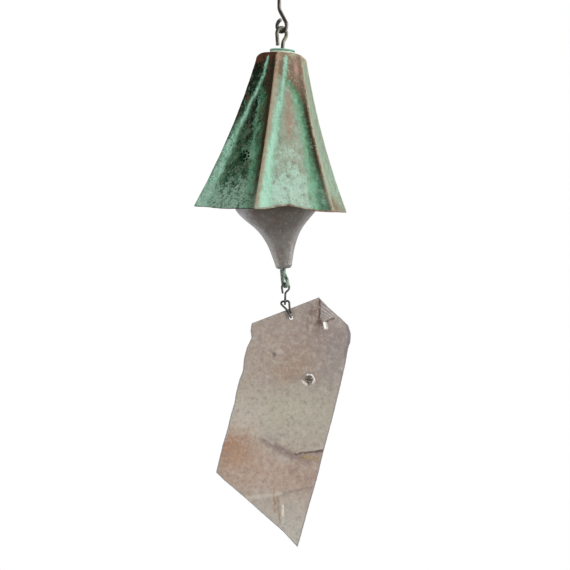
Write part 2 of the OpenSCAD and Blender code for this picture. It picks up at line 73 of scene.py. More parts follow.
class Field:
    """A socket that counts like a number: each sign between two fields adds a math node."""

    def __init__(self, tree, socket):
        self.tree = tree
        self.socket = socket

    def math(self, operation, *others):
        """What a math node makes of this field and the others."""
        node = new_node(self.tree, "ShaderNodeMath", operation=operation)
        for place, value in zip(node.inputs, (self, *others)):
            feed(self.tree, place, value)
        return Field(self.tree, node.outputs[0])

    def __add__(self, other):
        return self.math("ADD", other)

    def __sub__(self, other):
        return self.math("SUBTRACT", other)

    def __rsub__(self, other):
        return -self + other

    def __mul__(self, other):
        return self.math("MULTIPLY", other)

    def __truediv__(self, other):
        return self.math("DIVIDE", other)

    def __rtruediv__(self, other):
        return self ** -1 * other

    def __pow__(self, other):
        return self.math("POWER", other)

    def __neg__(self):
        return self * -1

    __radd__ = __add__
    __rmul__ = __mul__

    def either(self, other):
        """The greater of two masks."""
        return self.math("MAXIMUM", other)

    def decay(self):
        """1 at 0, and falling towards 0 as the value grows."""
        return (-self).math("EXPONENT")

    def step(self, low, high):
        """0 below low and 1 above high, with a smooth rise between them."""
        node = new_node(self.tree, "ShaderNodeMapRange", interpolation_type="SMOOTHSTEP",
                        Value=self, From_Min=low, From_Max=high)
        return Field(self.tree, node.outputs["Result"])

    def band(self, low, high, edge):
        """1 between low and high, fading to 0 over the edge's width on both sides."""
        return self.step(low - edge, low + edge) * (1 - self.step(high - edge, high + edge))

    def hump(self, middle, width):
        """1 at the middle, and smoothly down to 0 at about twice the width on both sides."""
        away = (self - middle) / width
        return (away * away).decay()

    def frayed(self, grain, amount):
        """This value strayed by a grain, so that what is drawn by it has a ragged outline."""
        return self + (grain - GRAIN_MIDDLE) * amount

    def mixed(self, other):
        """Two grains as one, with the same middle."""
        return (self + other - 2 * GRAIN_MIDDLE) * GRAIN_BLEND + GRAIN_MIDDLE

    def cover(self, amount, edge=0.12):
        """A mask out of a grain, that covers about this share of the surface."""
        return ((self - GRAIN_MIDDLE) * GRAIN_SPREAD + amount).step(0.5 - edge, 0.5 + edge)


def feed(tree, place, value):
    """Links a field or a socket to an input, or sets the input to a plain value."""
    socket = getattr(value, "socket", value)
    if isinstance(socket, bpy.types.NodeSocket):
        tree.links.new(socket, place)
    else:
        place.default_value = value


def new_node(tree, kind, **values):
    """A new node. Names in lower case are its settings, and the others are its inputs."""
    node = tree.nodes.new(kind)
    for name, value in values.items():
        if name.islower():
            setattr(node, name, value)
        else:
            feed(tree, node.inputs[name.replace("_", " ")], value)
    return node


def shade(red, green, blue):
    """A colour written as it looks on a screen, 0 to 255, as the linear value that nodes take."""
    linear = [((c / 255 + 0.055) / 1.055) ** 2.4 for c in (red, green, blue)]
    return (*linear, 1)


class Paint:
    """One material, coated layer on layer. Colours are written as they look on a screen."""

    def __init__(self, name, base, metallic, gloss=0.5):
        self.material = bpy.data.materials.new(name)
        self.material.use_nodes = True
        self.tree = self.material.node_tree
        self.shader = self.tree.nodes["Principled BSDF"]
        self.shader.inputs["Metallic"].default_value = metallic
        self.shader.inputs["Specular IOR Level"].default_value = gloss
        self.place = self.node("TexCoord").outputs["Object"]
        self.colour = shade(*base)

    def node(self, kind, **values):
        """A new node of this kind in the material."""
        return new_node(self.tree, "ShaderNode" + kind, **values)

    def pattern(self, kind, size, shift, stretch=(1, 1, 1), **values):
        """A texture node of this kind, whose spots are about size metres across."""
        place = self.node("Mapping", Vector=self.place, Location=shift, Scale=stretch)
        return self.node(kind, Vector=place.outputs["Vector"], Scale=1 / size, **values)

    def grain(self, size, detail=4, rough=0.6, stretch=(1, 1, 1), shift=0.0):
        """Noise from 0 to 1, its blotches about size metres across."""
        node = self.pattern("TexNoise", size, (shift, shift / 2, -shift), stretch,
                            Detail=detail, Roughness=rough)
        return Field(self.tree, node.outputs["Fac"])

    def pits(self, size, shift):
        """Distance from the nearest of many scattered spots, 0 on a spot."""
        return Field(self.tree, self.pattern("TexVoronoi", size, (shift, shift, shift)).outputs["Distance"])

    def value(self, name):
        """What the piece's mesh holds under this name."""
        return Field(self.tree, self.node("Attribute", attribute_name=name).outputs["Fac"])

    def axis(self, letter, facing=False):
        """The place along an axis in metres, or how far the surface faces along it, -1 to 1."""
        coordinates = self.place.node.outputs["Normal"] if facing else self.place
        return Field(self.tree, self.node("SeparateXYZ", Vector=coordinates).outputs[letter])

    def coat(self, colour, mask):
        """Lays a colour over what is there, where the mask is above 0."""
        node = self.node("Mix", data_type="RGBA", Factor=mask)
        under, over = node.inputs[6], node.inputs[7]
        feed(self.tree, under, self.colour)
        feed(self.tree, over, shade(*colour))
        self.colour = Field(self.tree, node.outputs[2])

    def finish(self, roughness, relief, height):
        """Sets the roughness and a bump of this height in metres, and returns the material."""
        bump = self.node("Bump", Strength=1, Distance=height, Height=relief)
        skin = {"Base Color": self.colour, "Roughness": roughness, "Normal": bump.outputs["Normal"]}
        for name, value in skin.items():
            feed(self.tree, self.shader.inputs[name], value)
        return self.material


def wire_finish(name, dark, worn, bloom, bloom_share, painted_highlight, worn_share=0.3):
    """Weathered wire: a dark skin, worn spots along it, a powdery bloom, and a painted highlight down its
    right side with painted shade down its left.
    """
    paint = Paint(name, dark, metallic=0.3, gloss=0.3)
    flecks = paint.grain(0.0013, detail=6, rough=0.7)
    mottle = paint.grain(0.006, detail=5, shift=0.3).mixed(flecks)
    powder = paint.grain(0.0035, detail=6, rough=0.75, shift=1.7)
    drawn = paint.grain(0.0007, stretch=(1, 1, 0.25), shift=2.1)
    right = paint.axis("X", facing=True).frayed(mottle, 1)
    paint.coat(worn, mottle.cover(worn_share, 0.25))
    paint.coat(bloom, powder.cover(bloom_share, 0.2))
    # Painted light from the right: a highlight down the right side, and shade down the left
    paint.coat(painted_highlight, right.step(0.05, 0.5) * 0.8)
    paint.coat(dark, (-right).step(0.2, 0.7) * 0.7)
    return paint.finish(0.32 + flecks * 0.25, drawn + flecks * 0.6, 0.00015)


def repaint(node, material):
    """Gives a node of the frame its finish in place of the plain one."""
    for place in frame["nodes"][node].material_slots:
        place.material = material


repaint("hanger_wire", wire_finish("hanger_wire", (22, 16, 12), (58, 50, 43), (124, 116, 104),
                                   bloom_share=0.08, painted_highlight=(144, 138, 132)))


# Bell hook. One heavy wire with an open hook that hangs in the hanger's eye, a stem through the
# crown, and a closed eye inside the bell. It is bent after the bell is threaded on it.
repaint("bell_hook", wire_finish("bell_hook", (30, 24, 16), (122, 116, 88), (104, 118, 90),
                                 bloom_share=0.2, painted_highlight=(136, 132, 120)))


# Bell. A sand casting in bronze: six panels between rounded ridges, with a flute beside each ridge.
# The flutes hold bright verdigris, the panels are mottled, and the ridges are rubbed to copper.
PANELS = 6
BELL_HEIGHT = 0.1324
MOUTH_RADIUS = 0.0682
SHOULDER_RADIUS = 0.023
SHOULDER_HEIGHT = 0.007
CROWN_FLAT = 0.0145
CROWN_THICKNESS = 0.005
BELL_WALL = 0.0032
LIP_ROUND = 0.0009
BORE_RADIUS = 0.0017
INNER_FLAT_SHARE = 0.8
BELL_AROUND = 400
CROWN_ROWS = 8
SHOULDER_ROWS = 9
WALL_ROWS = 135
LIP_ROWS = 3
INNER_ROWS = 60
INNER_SHOULDER_ROWS = 8
INNER_CROWN_ROWS = 4
PIT_DENTS = 9
PIT_DEPTH = 0.0008
BULGE_HEIGHT = 0.0003
# Place before the bell's axis at which the pit's dents are whole, and at which there are none
PIT_SIDE = (-0.012, -0.006)
SEAM_WIDTH = 0.000005
DOUBLE_POINTS = 0.000002

# Each panel from the one right of the front ridge on: arch of its rim, how dark its skin is, how far
# its bright streak strays from the left flute near the crown, and how bright its streaks are
PANEL_SHARES = {"arch": (1, 0.15, 0.35, 0.5, 0.3, -0.25), "dark": (0, 0, 0.75, 0.35, 0.9, 1),
                "reach": (0.3, 0.12, 0.25, 0.4, 0.2, 0.5), "bright": (1, 0.35, 0.6, 0.9, 0.7, 0.9)}


def joint_frame(name):
    """Place and lean of a piece that turns about its own upright axis, from that joint."""
    joint = next(j for j in frame["joints"] if j["name"] == name)
    lean = math.atan2(joint["axis"][0], joint["axis"][2])
    return Matrix.Translation(joint["pos_m"]) @ Matrix.Rotation(lean, 4, "Y")


def spun_tree():
    """Spins a profile round the upright axis and flutes it: each profile point is one ring."""
    tree = bpy.data.node_groups.new("spun_casting", "GeometryNodeTree")
    inputs = {"Geometry": ("Geometry",), "Int": ("Rings", "Around", "Panels"), "Material": ("Material",),
              "Float": ("Height", "Mouth radius", "Shoulder radius", "Shoulder height", "Flare",
                        "Flute depth", "Flute width", "Ridge rounding", "Middle rise", "First ridge",
                        "Rim slant", "Slant turn", "Rim arch", "Arch shift", "Arch power",
                        "Lump height", "Lump size", "Pit height", "Pit radius", "Pit ring", "Pit turn",
                        "Pit depth", "Bulge height")}
    for kind, names in inputs.items():
        for name in names:
            tree.interface.new_socket(name, in_out="INPUT", socket_type="NodeSocket" + kind)
    tree.interface.new_socket("Geometry", in_out="OUTPUT", socket_type="NodeSocketGeometry")
    size = {s.name: Field(tree, s) for s in tree.nodes.new("NodeGroupInput").outputs if s.name}

    def node(kind, **values):
        """The first output of a new node, as a field."""
        return Field(tree, new_node(tree, kind, **values).outputs[0])

    def store(geometry, **values):
        """The geometry with each value kept on its points under the value's name."""
        for name, value in values.items():
            geometry = node("GeometryNodeStoreNamedAttribute", Geometry=geometry, Name=name, Value=value)
        return geometry

    index = node("GeometryNodeInputIndex")
    column = ((index + 0.5) / size["Rings"]).math("FLOOR")
    row = index - column * size["Rings"]
    turn = column / size["Around"] * size["Panels"]
    panel = turn.math("FLOOR").math("FLOORED_MODULO", size["Panels"])
    way = turn.math("FRACT")
    angle = size["First ridge"] - math.pi / 2 + turn / size["Panels"] * math.tau

    def profile(name, at=row):
        """The profile's value of this name at a point."""
        named = node("GeometryNodeInputNamedAttribute", Name=name)
        return node("GeometryNodeSampleIndex", Geometry=size["Geometry"], Value=named, Index=at)

    # Place across the panel, 0 on a ridge and 1 in mid panel, rounded off at the ridge
    across = 1 - (way * 2 - 1).math("ABSOLUTE")
    rounding = size["Ridge rounding"]
    full = (rounding * rounding + 1).math("SQRT") - rounding
    off_ridge = ((across * across + rounding * rounding).math("SQRT") - rounding) / full
    half = math.pi / size["Panels"]
    chord = half.math("COSINE") / (half * (1 - off_ridge)).math("COSINE")
    near = off_ridge / size["Flute width"]
    middle = 1 - size["Middle rise"] * (1 - (off_ridge * math.pi).math("COSINE")) / 2
    flute = (1 - (near * near).decay()) * middle
    form = profile("form")
    section = 1 - form * (1 - chord) - form * size["Flute depth"] * flute

    # Depth of the rim under each point, then the ring's own depth and radius
    full_section = chord - size["Flute depth"] * flute
    toward = (angle - size["Slant turn"]).math("COSINE")
    slant = size["Mouth radius"] * full_section * toward * size["Rim slant"].math("TANGENT")
    bow = (way ** size["Arch shift"] * math.pi).math("SINE").either(0) ** size["Arch power"]
    rim = size["Height"] - slant - size["Rim arch"] * profile("arch", panel) * bow
    top = profile("top")
    depth = top + (rim - top) * profile("share") - profile("lift")
    down = (depth - size["Shoulder height"]) / (size["Height"] - size["Shoulder height"])
    opening = down * (1 - size["Flare"]) + size["Flare"] * down * down
    wall_radius = size["Shoulder radius"] + (size["Mouth radius"] - size["Shoulder radius"]) * opening
    wall = profile("wall")
    radius = (wall_radius * wall + profile("radius") * (1 - wall)) * section - profile("inset")
    grid = node("GeometryNodeMeshGrid", Vertices_X=size["Around"] + 1, Vertices_Y=size["Rings"])
    grid = store(grid, across=across, side=way, down=down, to_rim=rim - depth, outside=profile("outside"),
                 **{name: profile(name, panel) for name in ("dark", "reach", "bright")})
    place = node("ShaderNodeCombineXYZ", X=radius * angle.math("COSINE"), Y=radius * angle.math("SINE"),
                 Z=-depth)
    wound = node("GeometryNodeSetPosition", Geometry=grid, Position=place)
    closed = node("GeometryNodeMergeByDistance", Geometry=wound, Distance=SEAM_WIDTH)

    # Lumps of the sand mould
    lumps = node("ShaderNodeTexNoise", Scale=1 / size["Lump size"], Detail=3.0)
    small = node("ShaderNodeTexNoise", Scale=5 / size["Lump size"], Detail=2.0)
    rise = (lumps - GRAIN_MIDDLE) * 2 + (small - GRAIN_MIDDLE) * 0.5

    # A pit in a ring of small dents on a low bulge, in a plane that faces the way the pit is turned
    split = new_node(tree, "ShaderNodeSeparateXYZ", Vector=node("GeometryNodeInputPosition"))
    x, y, z = (Field(tree, s) for s in split.outputs)
    turn_cosine, turn_sine = size["Pit turn"].math("COSINE"), size["Pit turn"].math("SINE")
    sideways = x * turn_cosine + y * turn_sine
    upward = z - size["Pit height"]
    facing = (1 - (y * turn_cosine - x * turn_sine).step(*PIT_SIDE)) * node(
        "GeometryNodeInputNamedAttribute", Name="outside")
    nearest = new_node(tree, "GeometryNodeProximity", target_element="POINTS",
                       Sample_Position=node("ShaderNodeCombineXYZ", X=sideways, Y=upward))
    feed(tree, nearest.inputs[0], node("GeometryNodeMeshCircle", Vertices=PIT_DENTS, Radius=size["Pit ring"]))
    pit_radius = size["Pit radius"]
    to_dent = Field(tree, nearest.outputs["Distance"])
    to_pit = (sideways * sideways + upward ** 2).math("SQRT")
    beside = sideways - size["Pit ring"]
    to_bulge = (beside * beside + (upward - size["Pit ring"] * 0.3) ** 2).math("SQRT")
    dents = 1 - to_dent.step(pit_radius * 0.25, pit_radius * 0.6)
    dent = dents.either(1 - to_pit.step(pit_radius * 0.5, pit_radius * 1.1)) * facing
    bulge = (1 - to_bulge.step(pit_radius * 0.8, pit_radius * 3)) * facing
    rise = rise * size["Lump height"] - dent * size["Pit depth"] + bulge * size["Bulge height"]
    offset = node("ShaderNodeVectorMath", operation="SCALE", Scale=rise,
                  Vector=node("GeometryNodeInputNormal"))
    marked = store(closed, dent=dent, bulge=bulge)
    relief = node("GeometryNodeSetPosition", Geometry=marked, Offset=offset)
    real = node("GeometryNodeRealizeInstances", Geometry=relief)
    cast = node("GeometryNodeSetMaterial", Geometry=real, Material=size["Material"])
    feed(tree, tree.nodes.new("NodeGroupOutput").inputs[0], cast)
    return tree


PROFILE_VALUES = ("radius", "inset", "form", "wall", "top", "share", "lift", "outside")


def add(name, data):
    """A new object in the scene that holds this data."""
    made = bpy.data.objects.new(name, data)
    bpy.context.scene.collection.objects.link(made)
    return made


def note(mesh, values):
    """Keeps a number for each point of a mesh, under each name."""
    for name, numbers in values.items():
        mesh.attributes.new(name, "FLOAT", "POINT").data.foreach_set("value", numbers)


def spun(name, tree, rings, panel_values, place, material, **sizes):
    """A piece spun from its profile, as a plain mesh at its place."""
    mesh = bpy.data.meshes.new(name + "_profile")
    mesh.from_pydata([(0, 0, 0)] * len(rings), [], [])
    note(mesh, dict(zip(PROFILE_VALUES, zip(*rings))))
    note(mesh, {k: [*shares] + [0] * (len(rings) - len(shares)) for k, shares in panel_values.items()})
    maker = add(name + "_maker", mesh)
    modifier = maker.modifiers.new("spin", "NODES")
    modifier.node_group = tree
    values = {"Rings": len(rings), "Material": material}
    values.update({size.replace("_", " "): value for size, value in sizes.items()})
    for item in tree.interface.items_tree:
        if item.in_out == "INPUT" and item.name in values:
            modifier[item.identifier] = values[item.name]
    maker.update_tag()
    return plain(name, maker, place)


def plain(name, maker, place):
    """The maker's evaluated mesh as a finished object at the origin; the maker goes."""
    bpy.context.view_layer.update()
    depsgraph = bpy.context.evaluated_depsgraph_get()
    mesh = bpy.data.meshes.new_from_object(maker.evaluated_get(depsgraph), depsgraph=depsgraph,
                                           preserve_all_data_layers=True)
    for modifier in list(maker.modifiers):
        maker.modifiers.remove(modifier)
    bpy.data.objects.remove(maker)
    mesh.transform(place)
    mesh.name = name
    sound = bmesh.new()
    sound.from_mesh(mesh)
    bmesh.ops.remove_doubles(sound, verts=sound.verts, dist=DOUBLE_POINTS)
    bmesh.ops.recalc_face_normals(sound, faces=sound.faces)
    if sound.calc_volume(signed=True) < 0:
        bmesh.ops.reverse_faces(sound, faces=sound.faces)
    sound.to_mesh(mesh)
    sound.free()
    mesh.shade_smooth()
    return add(name, mesh)


def ring(radius, top, form=0.0, inset=0.0, wall=0.0, share=0.0, lift=0.0, outside=1.0):
    """One point of a profile, in the order of PROFILE_VALUES."""
    return (radius, inset, form, wall, top, share, lift, outside)


def steps(count, first=0):
    """Even steps up to 1, from 0 or from the first of them."""
    return [i / count for i in range(first, count + 1)]


def quarter(count):
    """Sine and cosine of each step of a quarter turn, without its start."""
    return [(math.sin(t * math.pi / 2), math.cos(t * math.pi / 2)) for t in steps(count, 1)]


def wall_ring(share, top=SHOULDER_HEIGHT, **values):
    """One ring of the fluted wall, at this share of the way from the shoulder to the rim."""
    return ring(0, top, form=1, wall=1, share=share, **values)


bell_rings = [ring(BORE_RADIUS + (CROWN_FLAT - BORE_RADIUS) * t, 0) for t in steps(CROWN_ROWS)]
bell_rings += [ring(CROWN_FLAT + (SHOULDER_RADIUS - CROWN_FLAT) * sine,
                    SHOULDER_HEIGHT * (1 - cosine), form=sine)
               for sine, cosine in quarter(SHOULDER_ROWS)]
bell_rings += [wall_ring(t, lift=LIP_ROUND * t) for t in steps(WALL_ROWS, 1)]
bell_rings += [wall_ring(1, inset=LIP_ROUND * (1 - cosine), lift=LIP_ROUND * (1 - sine))
               for sine, cosine in quarter(LIP_ROWS)]
bell_rings += [wall_ring(1, inset=LIP_ROUND + (BELL_WALL - LIP_ROUND) * t, outside=0)
               for t in steps(LIP_ROWS, 1)]
bell_rings += [wall_ring(1 - t, top=CROWN_THICKNESS + SHOULDER_HEIGHT, inset=BELL_WALL, outside=0)
               for t in steps(INNER_ROWS, 1)]
inner_flat = CROWN_FLAT * INNER_FLAT_SHARE
bell_rings += [ring(inner_flat + (SHOULDER_RADIUS - inner_flat) * cosine,
                    CROWN_THICKNESS + SHOULDER_HEIGHT * (1 - sine), form=cosine,
                    inset=BELL_WALL * cosine, outside=0)
               for sine, cosine in quarter(INNER_SHOULDER_ROWS)]
bell_rings += [ring(inner_flat + (BORE_RADIUS - inner_flat) * t, CROWN_THICKNESS, outside=0)
               for t in steps(INNER_CROWN_ROWS, 1)]
bell_rings.append(ring(BORE_RADIUS, 0, outside=0))


def bell_finish():
    """Patina of the bell, laid on the way weather lays it: by flute, ridge, height and panel. Painted shade
    lies beside the ridges and in the dents, and painted highlights on the ridges and beside the pit.
    """
    paint = Paint("bell_shell", (152, 160, 142), metallic=0.0, gloss=0.03)
    coat, grain = paint.coat, paint.grain
    cloud = grain(0.022, detail=4, shift=0.4)
    drift = grain(0.012, detail=4, rough=0.55, shift=5.2)
    smudge = grain(0.007, detail=7, rough=0.7, stretch=(1, 1, 0.6), shift=6.3)
    blotch = grain(0.0048, detail=6, rough=0.65, shift=1.1)
    fleck = grain(0.0019, detail=5, rough=0.75, shift=2.3)
    dust = grain(0.0012, detail=5, rough=0.8, shift=4.4)
    streak = grain(0.0035, detail=5, rough=0.65, stretch=(1, 1, 0.15), shift=3.2)
    brushed = grain(0.0018, detail=5, rough=0.7, stretch=(1, 1, 0.12), shift=7.7)
    speckle, wisps, clots = blotch.mixed(fleck), streak.mixed(fleck), smudge.mixed(streak)
    kept = ("across", "side", "down", "to_rim", "outside", "dark", "reach", "bright", "dent", "bulge")
    across, straight_side, straight_down, to_rim, outside, dark, reach, bright, dent, bulge = (
        paint.value(name) for name in kept)
    side = straight_side.frayed(drift, 0.12).frayed(fleck, 0.08)
    down = straight_down.frayed(cloud, 0.2)
    light = 1 - dark
    open_side = bright.step(0.3, 0.8)
    quiet = light * (1 - open_side)

    # Pale powder, thickest near the mouth, and grey-brown metal that shows down the middle
    coat((152, 138, 120), smudge.cover(0.3 - down * 0.3, 0.35))
    coat((176, 206, 188), (cloud + fleck - 0.5).cover(down.step(0.35, 1) * 0.8, 0.4))
    coat((116, 146, 122), smudge.cover(0.26, 0.35) * 0.8)
    coat((128, 138, 122), speckle.cover(0.3 - down * 0.1, 0.3) * 0.8)
    middle = side.hump(0.46, 0.08) * down.band(0.24, 0.46, 0.06)
    lower = side.hump(0.5, 0.2) * down.band(0.34, 0.62, 0.12)
    coat((160, 140, 122), speckle.cover(middle * 0.8 + lower * 0.35, 0.35) * (1 - quiet))

    # The quiet right panel: pale and finely streaked from above, brown where it meets the rim
    coat((132, 150, 130), quiet * 0.75)
    coat((156, 178, 158), brushed.cover(0.3, 0.3) * quiet)
    coat((104, 120, 100), (1 - brushed).cover(0.24, 0.3) * quiet * 0.85)
    coat((136, 122, 104), wisps.cover(0.3 - down * 0.25, 0.3) * quiet * 0.8)
    foot = (1 - to_rim.frayed(smudge, 0.03).step(0.006, 0.018)) * quiet
    coat((122, 102, 80), foot * (1 - side.step(0.45, 1.1) * 0.6) * speckle.cover(0.75, 0.35))

    # Dark skin of the weathered panels: green, then brown and black above, and pale flecks below
    coat((78, 106, 82), dark)
    coat((36, 64, 44), smudge.cover(0.62, 0.3) * dark)
    coat((86, 60, 40), (cloud + fleck - 0.5).cover(0.6 - down * 0.42, 0.3) * dark)
    coat((5, 13, 8), clots.cover(0.68 - down.step(0.1, 0.9) * 0.48, 0.17) * dark)
    green_run = side.hump(down * 0.5 + 0.44, 0.07) * down.band(0.25, 0.98, 0.1)
    coat((98, 144, 116), wisps.cover(0.1 + down * 0.2 + green_run * 0.42, 0.28) * dark)
    coat((96, 86, 62), blotch.cover(0.14, 0.25) * down.step(0.3, 0.6) * dark)
    coat((142, 174, 154), speckle.cover(down.step(0.64, 1) * 0.66, 0.3) * dark)
    coat((8, 22, 12), (1 - fleck).cover(0.26 - down * 0.12, 0.2) * dark)

    # Brown round the crown and over the panel's right top, above the bright streaks
    below = down.either(0)
    fall = (below / (0.55 - reach * 0.5)) ** 1.5
    left_middle = 0.07 + reach * fall.decay()
    right_middle = 0.87 - (down / 0.1).decay() * 1.9
    top = (1 - down.step(0.1, 0.3)) * (side - left_middle).step(0.02, 0.14) * open_side
    over = (side - right_middle).step(0.04, 0.12) * (1 - down.step(0.25, 0.55)) * open_side
    coat((124, 104, 88), smudge.cover(top.either(over) * 0.9, 0.35) * light)
    coat((70, 54, 42), speckle.cover(top * 0.5 * dark + over * light * 0.15, 0.3))
    coat((158, 150, 130), fleck.cover(top * light * 0.3, 0.3))

    # Bright verdigris that ran down the flutes
    left_run = side.hump(left_middle, 0.085 - dark * 0.006) * bright ** 2
    left_run = left_run * straight_down.frayed(fleck, 0.03).step(-0.055, -0.015)
    right_share = down.step(0.1, 0.2) * bright * (1 - dark * 0.5) * open_side
    upper = (below / 0.15).decay() * 0.2
    right_shade = side.hump(right_middle + 0.04, upper + 0.07) * right_share
    right_run = side.hump(right_middle - 0.04, upper + 0.06) * right_share
    coat((122, 178, 148), left_run * (speckle.cover(0.7, 0.4) * 0.6 + 0.4))
    coat((56, 106, 74), right_shade * (speckle.cover(0.6, 0.35) * 0.8 + 0.2))
    coat((36, 74, 50), (1 - fleck).cover(right_shade * 0.35, 0.25) * right_shade)
    coat((94, 160, 122), right_run * (wisps.cover(0.6, 0.35) * 0.7 + 0.15))
    coat((164, 206, 184), wisps.cover(left_run * 0.75, 0.4) * (left_run * 2).math("MINIMUM", 1))
    coat((136, 192, 160), wisps.cover(right_run * 0.35, 0.35) * right_run)
    coat((146, 172, 156), smudge.cover(left_run * down.step(0.5, 0.9) * 0.6, 0.3) * dark)
    coat((80, 104, 84), dust.cover(0.2, 0.25) * 0.8 * light)
    coat((36, 58, 40), dust.cover(0.24, 0.25) * 0.85 * dark)
    coat((52, 70, 54), clots.cover(0.1, 0.2) * left_run * 0.7 * (1 - down.step(0.2, 0.6)))
    coat((194, 212, 198), fleck.cover(light * 0.1 + 0.03, 0.2) * 0.8)

    # Painted shade: a brown-black flank left of each ridge, broad on the weathered panels; and brown round
    # the shoulder
    ridge_far = across * (straight_down * 0.66 + 0.34)
    left_of_ridge = straight_side.step(0.45, 0.55)
    broad_flank_shade = straight_side.frayed(speckle, 0.16).step(0.72, 0.95) * (0.85 - straight_down.step(0.3, 0.7) * 0.4)
    painted_flank = (1 - ridge_far.frayed(speckle, 0.09).step(0.085, 0.15)) * left_of_ridge * open_side
    coat((60, 44, 28), speckle.cover(broad_flank_shade * dark, 0.35))
    foot_fade = 1 - straight_down.step(0.78, 1) * 0.75
    coat((40, 34, 20), painted_flank * dark * (speckle.cover(0.65, 0.35) * 0.7 + 0.2) * foot_fade)
    coat((50, 46, 30), painted_flank * light * down.step(0.12, 0.4) * (1 - down.step(0.6, 1) * 0.4) * 0.95)
    shoulder = (1 - straight_down.frayed(blotch, 0.08).step(-0.04, 0.05)) * (1 - left_run * 0.8)
    coat((140, 116, 96), smudge.cover(shoulder * 0.7, 0.35) * light)
    coat((170, 166, 142), speckle.cover(shoulder * 0.45, 0.35) * light)
    coat((84, 52, 38), smudge.cover(shoulder * 0.9, 0.3) * dark)
    coat((50, 36, 24), speckle.cover(shoulder * 0.4, 0.3) * dark)
    pink = straight_side.frayed(fleck, 0.06).hump(0.8, 0.08)
    pink = pink * straight_down.frayed(fleck, 0.08).hump(0.05, 0.05)
    coat((182, 146, 132), pink * light * open_side)

    # Copper rubbed bare on the ridges and the lip, but for those on the weathered side
    near_dark = dark * (1 - left_of_ridge)
    spread = 0.7 - quiet * 0.3 + left_of_ridge * (0.5 + dark * 1.5 + quiet * 0.3)
    ridge = 1 - (ridge_far.frayed(speckle, 0.06) * spread).step(0.025, 0.08)
    coat((160, 130, 108), ridge * (1 - near_dark) * (speckle.cover(0.62, 0.35) * 0.9 + 0.05))
    # Painted highlight: pale beige flecks along the ridges, most on the quiet panel
    coat((168, 162, 140), fleck.cover(ridge * (0.4 + quiet * 0.35), 0.3) * (light - foot * 0.5))
    coat((40, 34, 28), (1 - ridge_far.step(0.01, 0.03)) * near_dark)
    lip = to_rim.frayed(speckle, 0.0024)
    lip_front = (1 - lip.step(0.0009, 0.0022)) * light
    coat((152, 130, 114), lip_front * (speckle.cover(0.6, 0.3) * 0.7 + 0.2))
    coat((112, 86, 68), lip_front * smudge.cover(0.34, 0.25))
    coat((38, 46, 40), (1 - lip.step(0.0001, 0.0009)) * dark)
    # Painted highlight on the bulge beside the pit, and painted shade in the dents and the pit
    coat((126, 160, 136), bulge * (0.3 + speckle.cover(0.6, 0.3) * 0.6) * dark)
    coat((2, 26, 10), dent.step(0.1, 0.6))
    coat((66, 58, 46), (1 - outside) * (0.55 + speckle * 0.4))
    return paint.finish(0.6 + dust * 0.4 - ridge * 0.15, smudge + speckle * 0.8 + dust * 0.6, 0.001)


spun_casting = spun_tree()
bell = spun("bell_casting", spun_casting, bell_rings, PANEL_SHARES,
            joint_frame("bell_swivel"), bell_finish(),
            Around=BELL_AROUND, Panels=PANELS, Height=BELL_HEIGHT, Mouth_radius=MOUTH_RADIUS,
            Shoulder_radius=SHOULDER_RADIUS, Shoulder_height=SHOULDER_HEIGHT, Flare=0.33, Flute_depth=0.062,
            Flute_width=0.15, Ridge_rounding=0.06, Middle_rise=0.45, First_ridge=math.radians(-11.5),
            Rim_slant=math.radians(2.6), Slant_turn=math.radians(64), Rim_arch=0.0038, Arch_shift=0.82,
            Arch_power=3.0, Lump_height=0.00035, Lump_size=0.011,
            Pit_height=-0.0905, Pit_radius=0.0026, Pit_ring=0.0042, Pit_turn=math.radians(-38),
            Pit_depth=PIT_DEPTH, Bulge_height=BULGE_HEIGHT)
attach(bell, "bell")
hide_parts("bell_shell")


# Crown cap. A thin bronze disc on a low spreading foot, that sits on the crown under the hook.
# Verdigris has run down its side, and its upper edge is painted dark as shade.
CAP_FOOT = 0.0021
CAP_EDGE = 0.0006


def cap_finish():
    """Pale green disc with its upper edge painted dark as shade, on a chalky foot."""
    paint = Paint("crown_cap", (200, 212, 188), metallic=0.0)
    crown = joint_frame("bell_swivel")
    up = (paint.axis("Z") - crown.translation.z) * crown[2][2]
    up = up + (paint.axis("X") - crown.translation.x) * crown[0][2]
    blotch = paint.grain(0.003, detail=6, rough=0.7)
    fleck = paint.grain(0.0012, detail=5, rough=0.75)
    disc = up.step(CAP_FOOT - 0.0003, CAP_FOOT)
    paint.coat((140, 170, 146), blotch.cover(0.3, 0.3))
    paint.coat((128, 172, 150), disc)
    # Painted shade along the disc's upper edge
    paint.coat((58, 84, 78), up.band(CAP_FOOT, CAP_FOOT + CAP_EDGE, 0.0002) * blotch.cover(0.55, 0.3))
    paint.coat((150, 134, 110), (1 - disc) * fleck.cover(0.22, 0.25))
    return paint.finish(0.6 + blotch * 0.3, blotch + fleck, 0.0003)


repaint("crown_cap", cap_finish())


# Inner washer. A plain bronze washer under the crown: the shoulder of the hook's inner eye bears
# on it, and the bell turns on it.
def washer_finish():
    """Brown metal with green blotches."""
    paint = Paint("inner_washer", (96, 72, 50), metallic=0.2)
    blotch = paint.grain(0.003, detail=5)
    paint.coat((92, 122, 98), blotch.step(0.5, 0.7))
    return paint.finish(0.5 + blotch * 0.3, blotch, 0.0002)


repaint("inner_washer", washer_finish())


# Clapper wire. A long heavy wire with a hook over the inner eye, a slight kink above the clapper,
# and a closed loop below its tip. Its lower end has a green bloom from the bell's drips.
repaint("clapper_wire", wire_finish("clapper_wire", (52, 62, 54), (140, 158, 142), (172, 190, 176),
                                    bloom_share=0.25, painted_highlight=(142, 158, 146), worn_share=0.5))


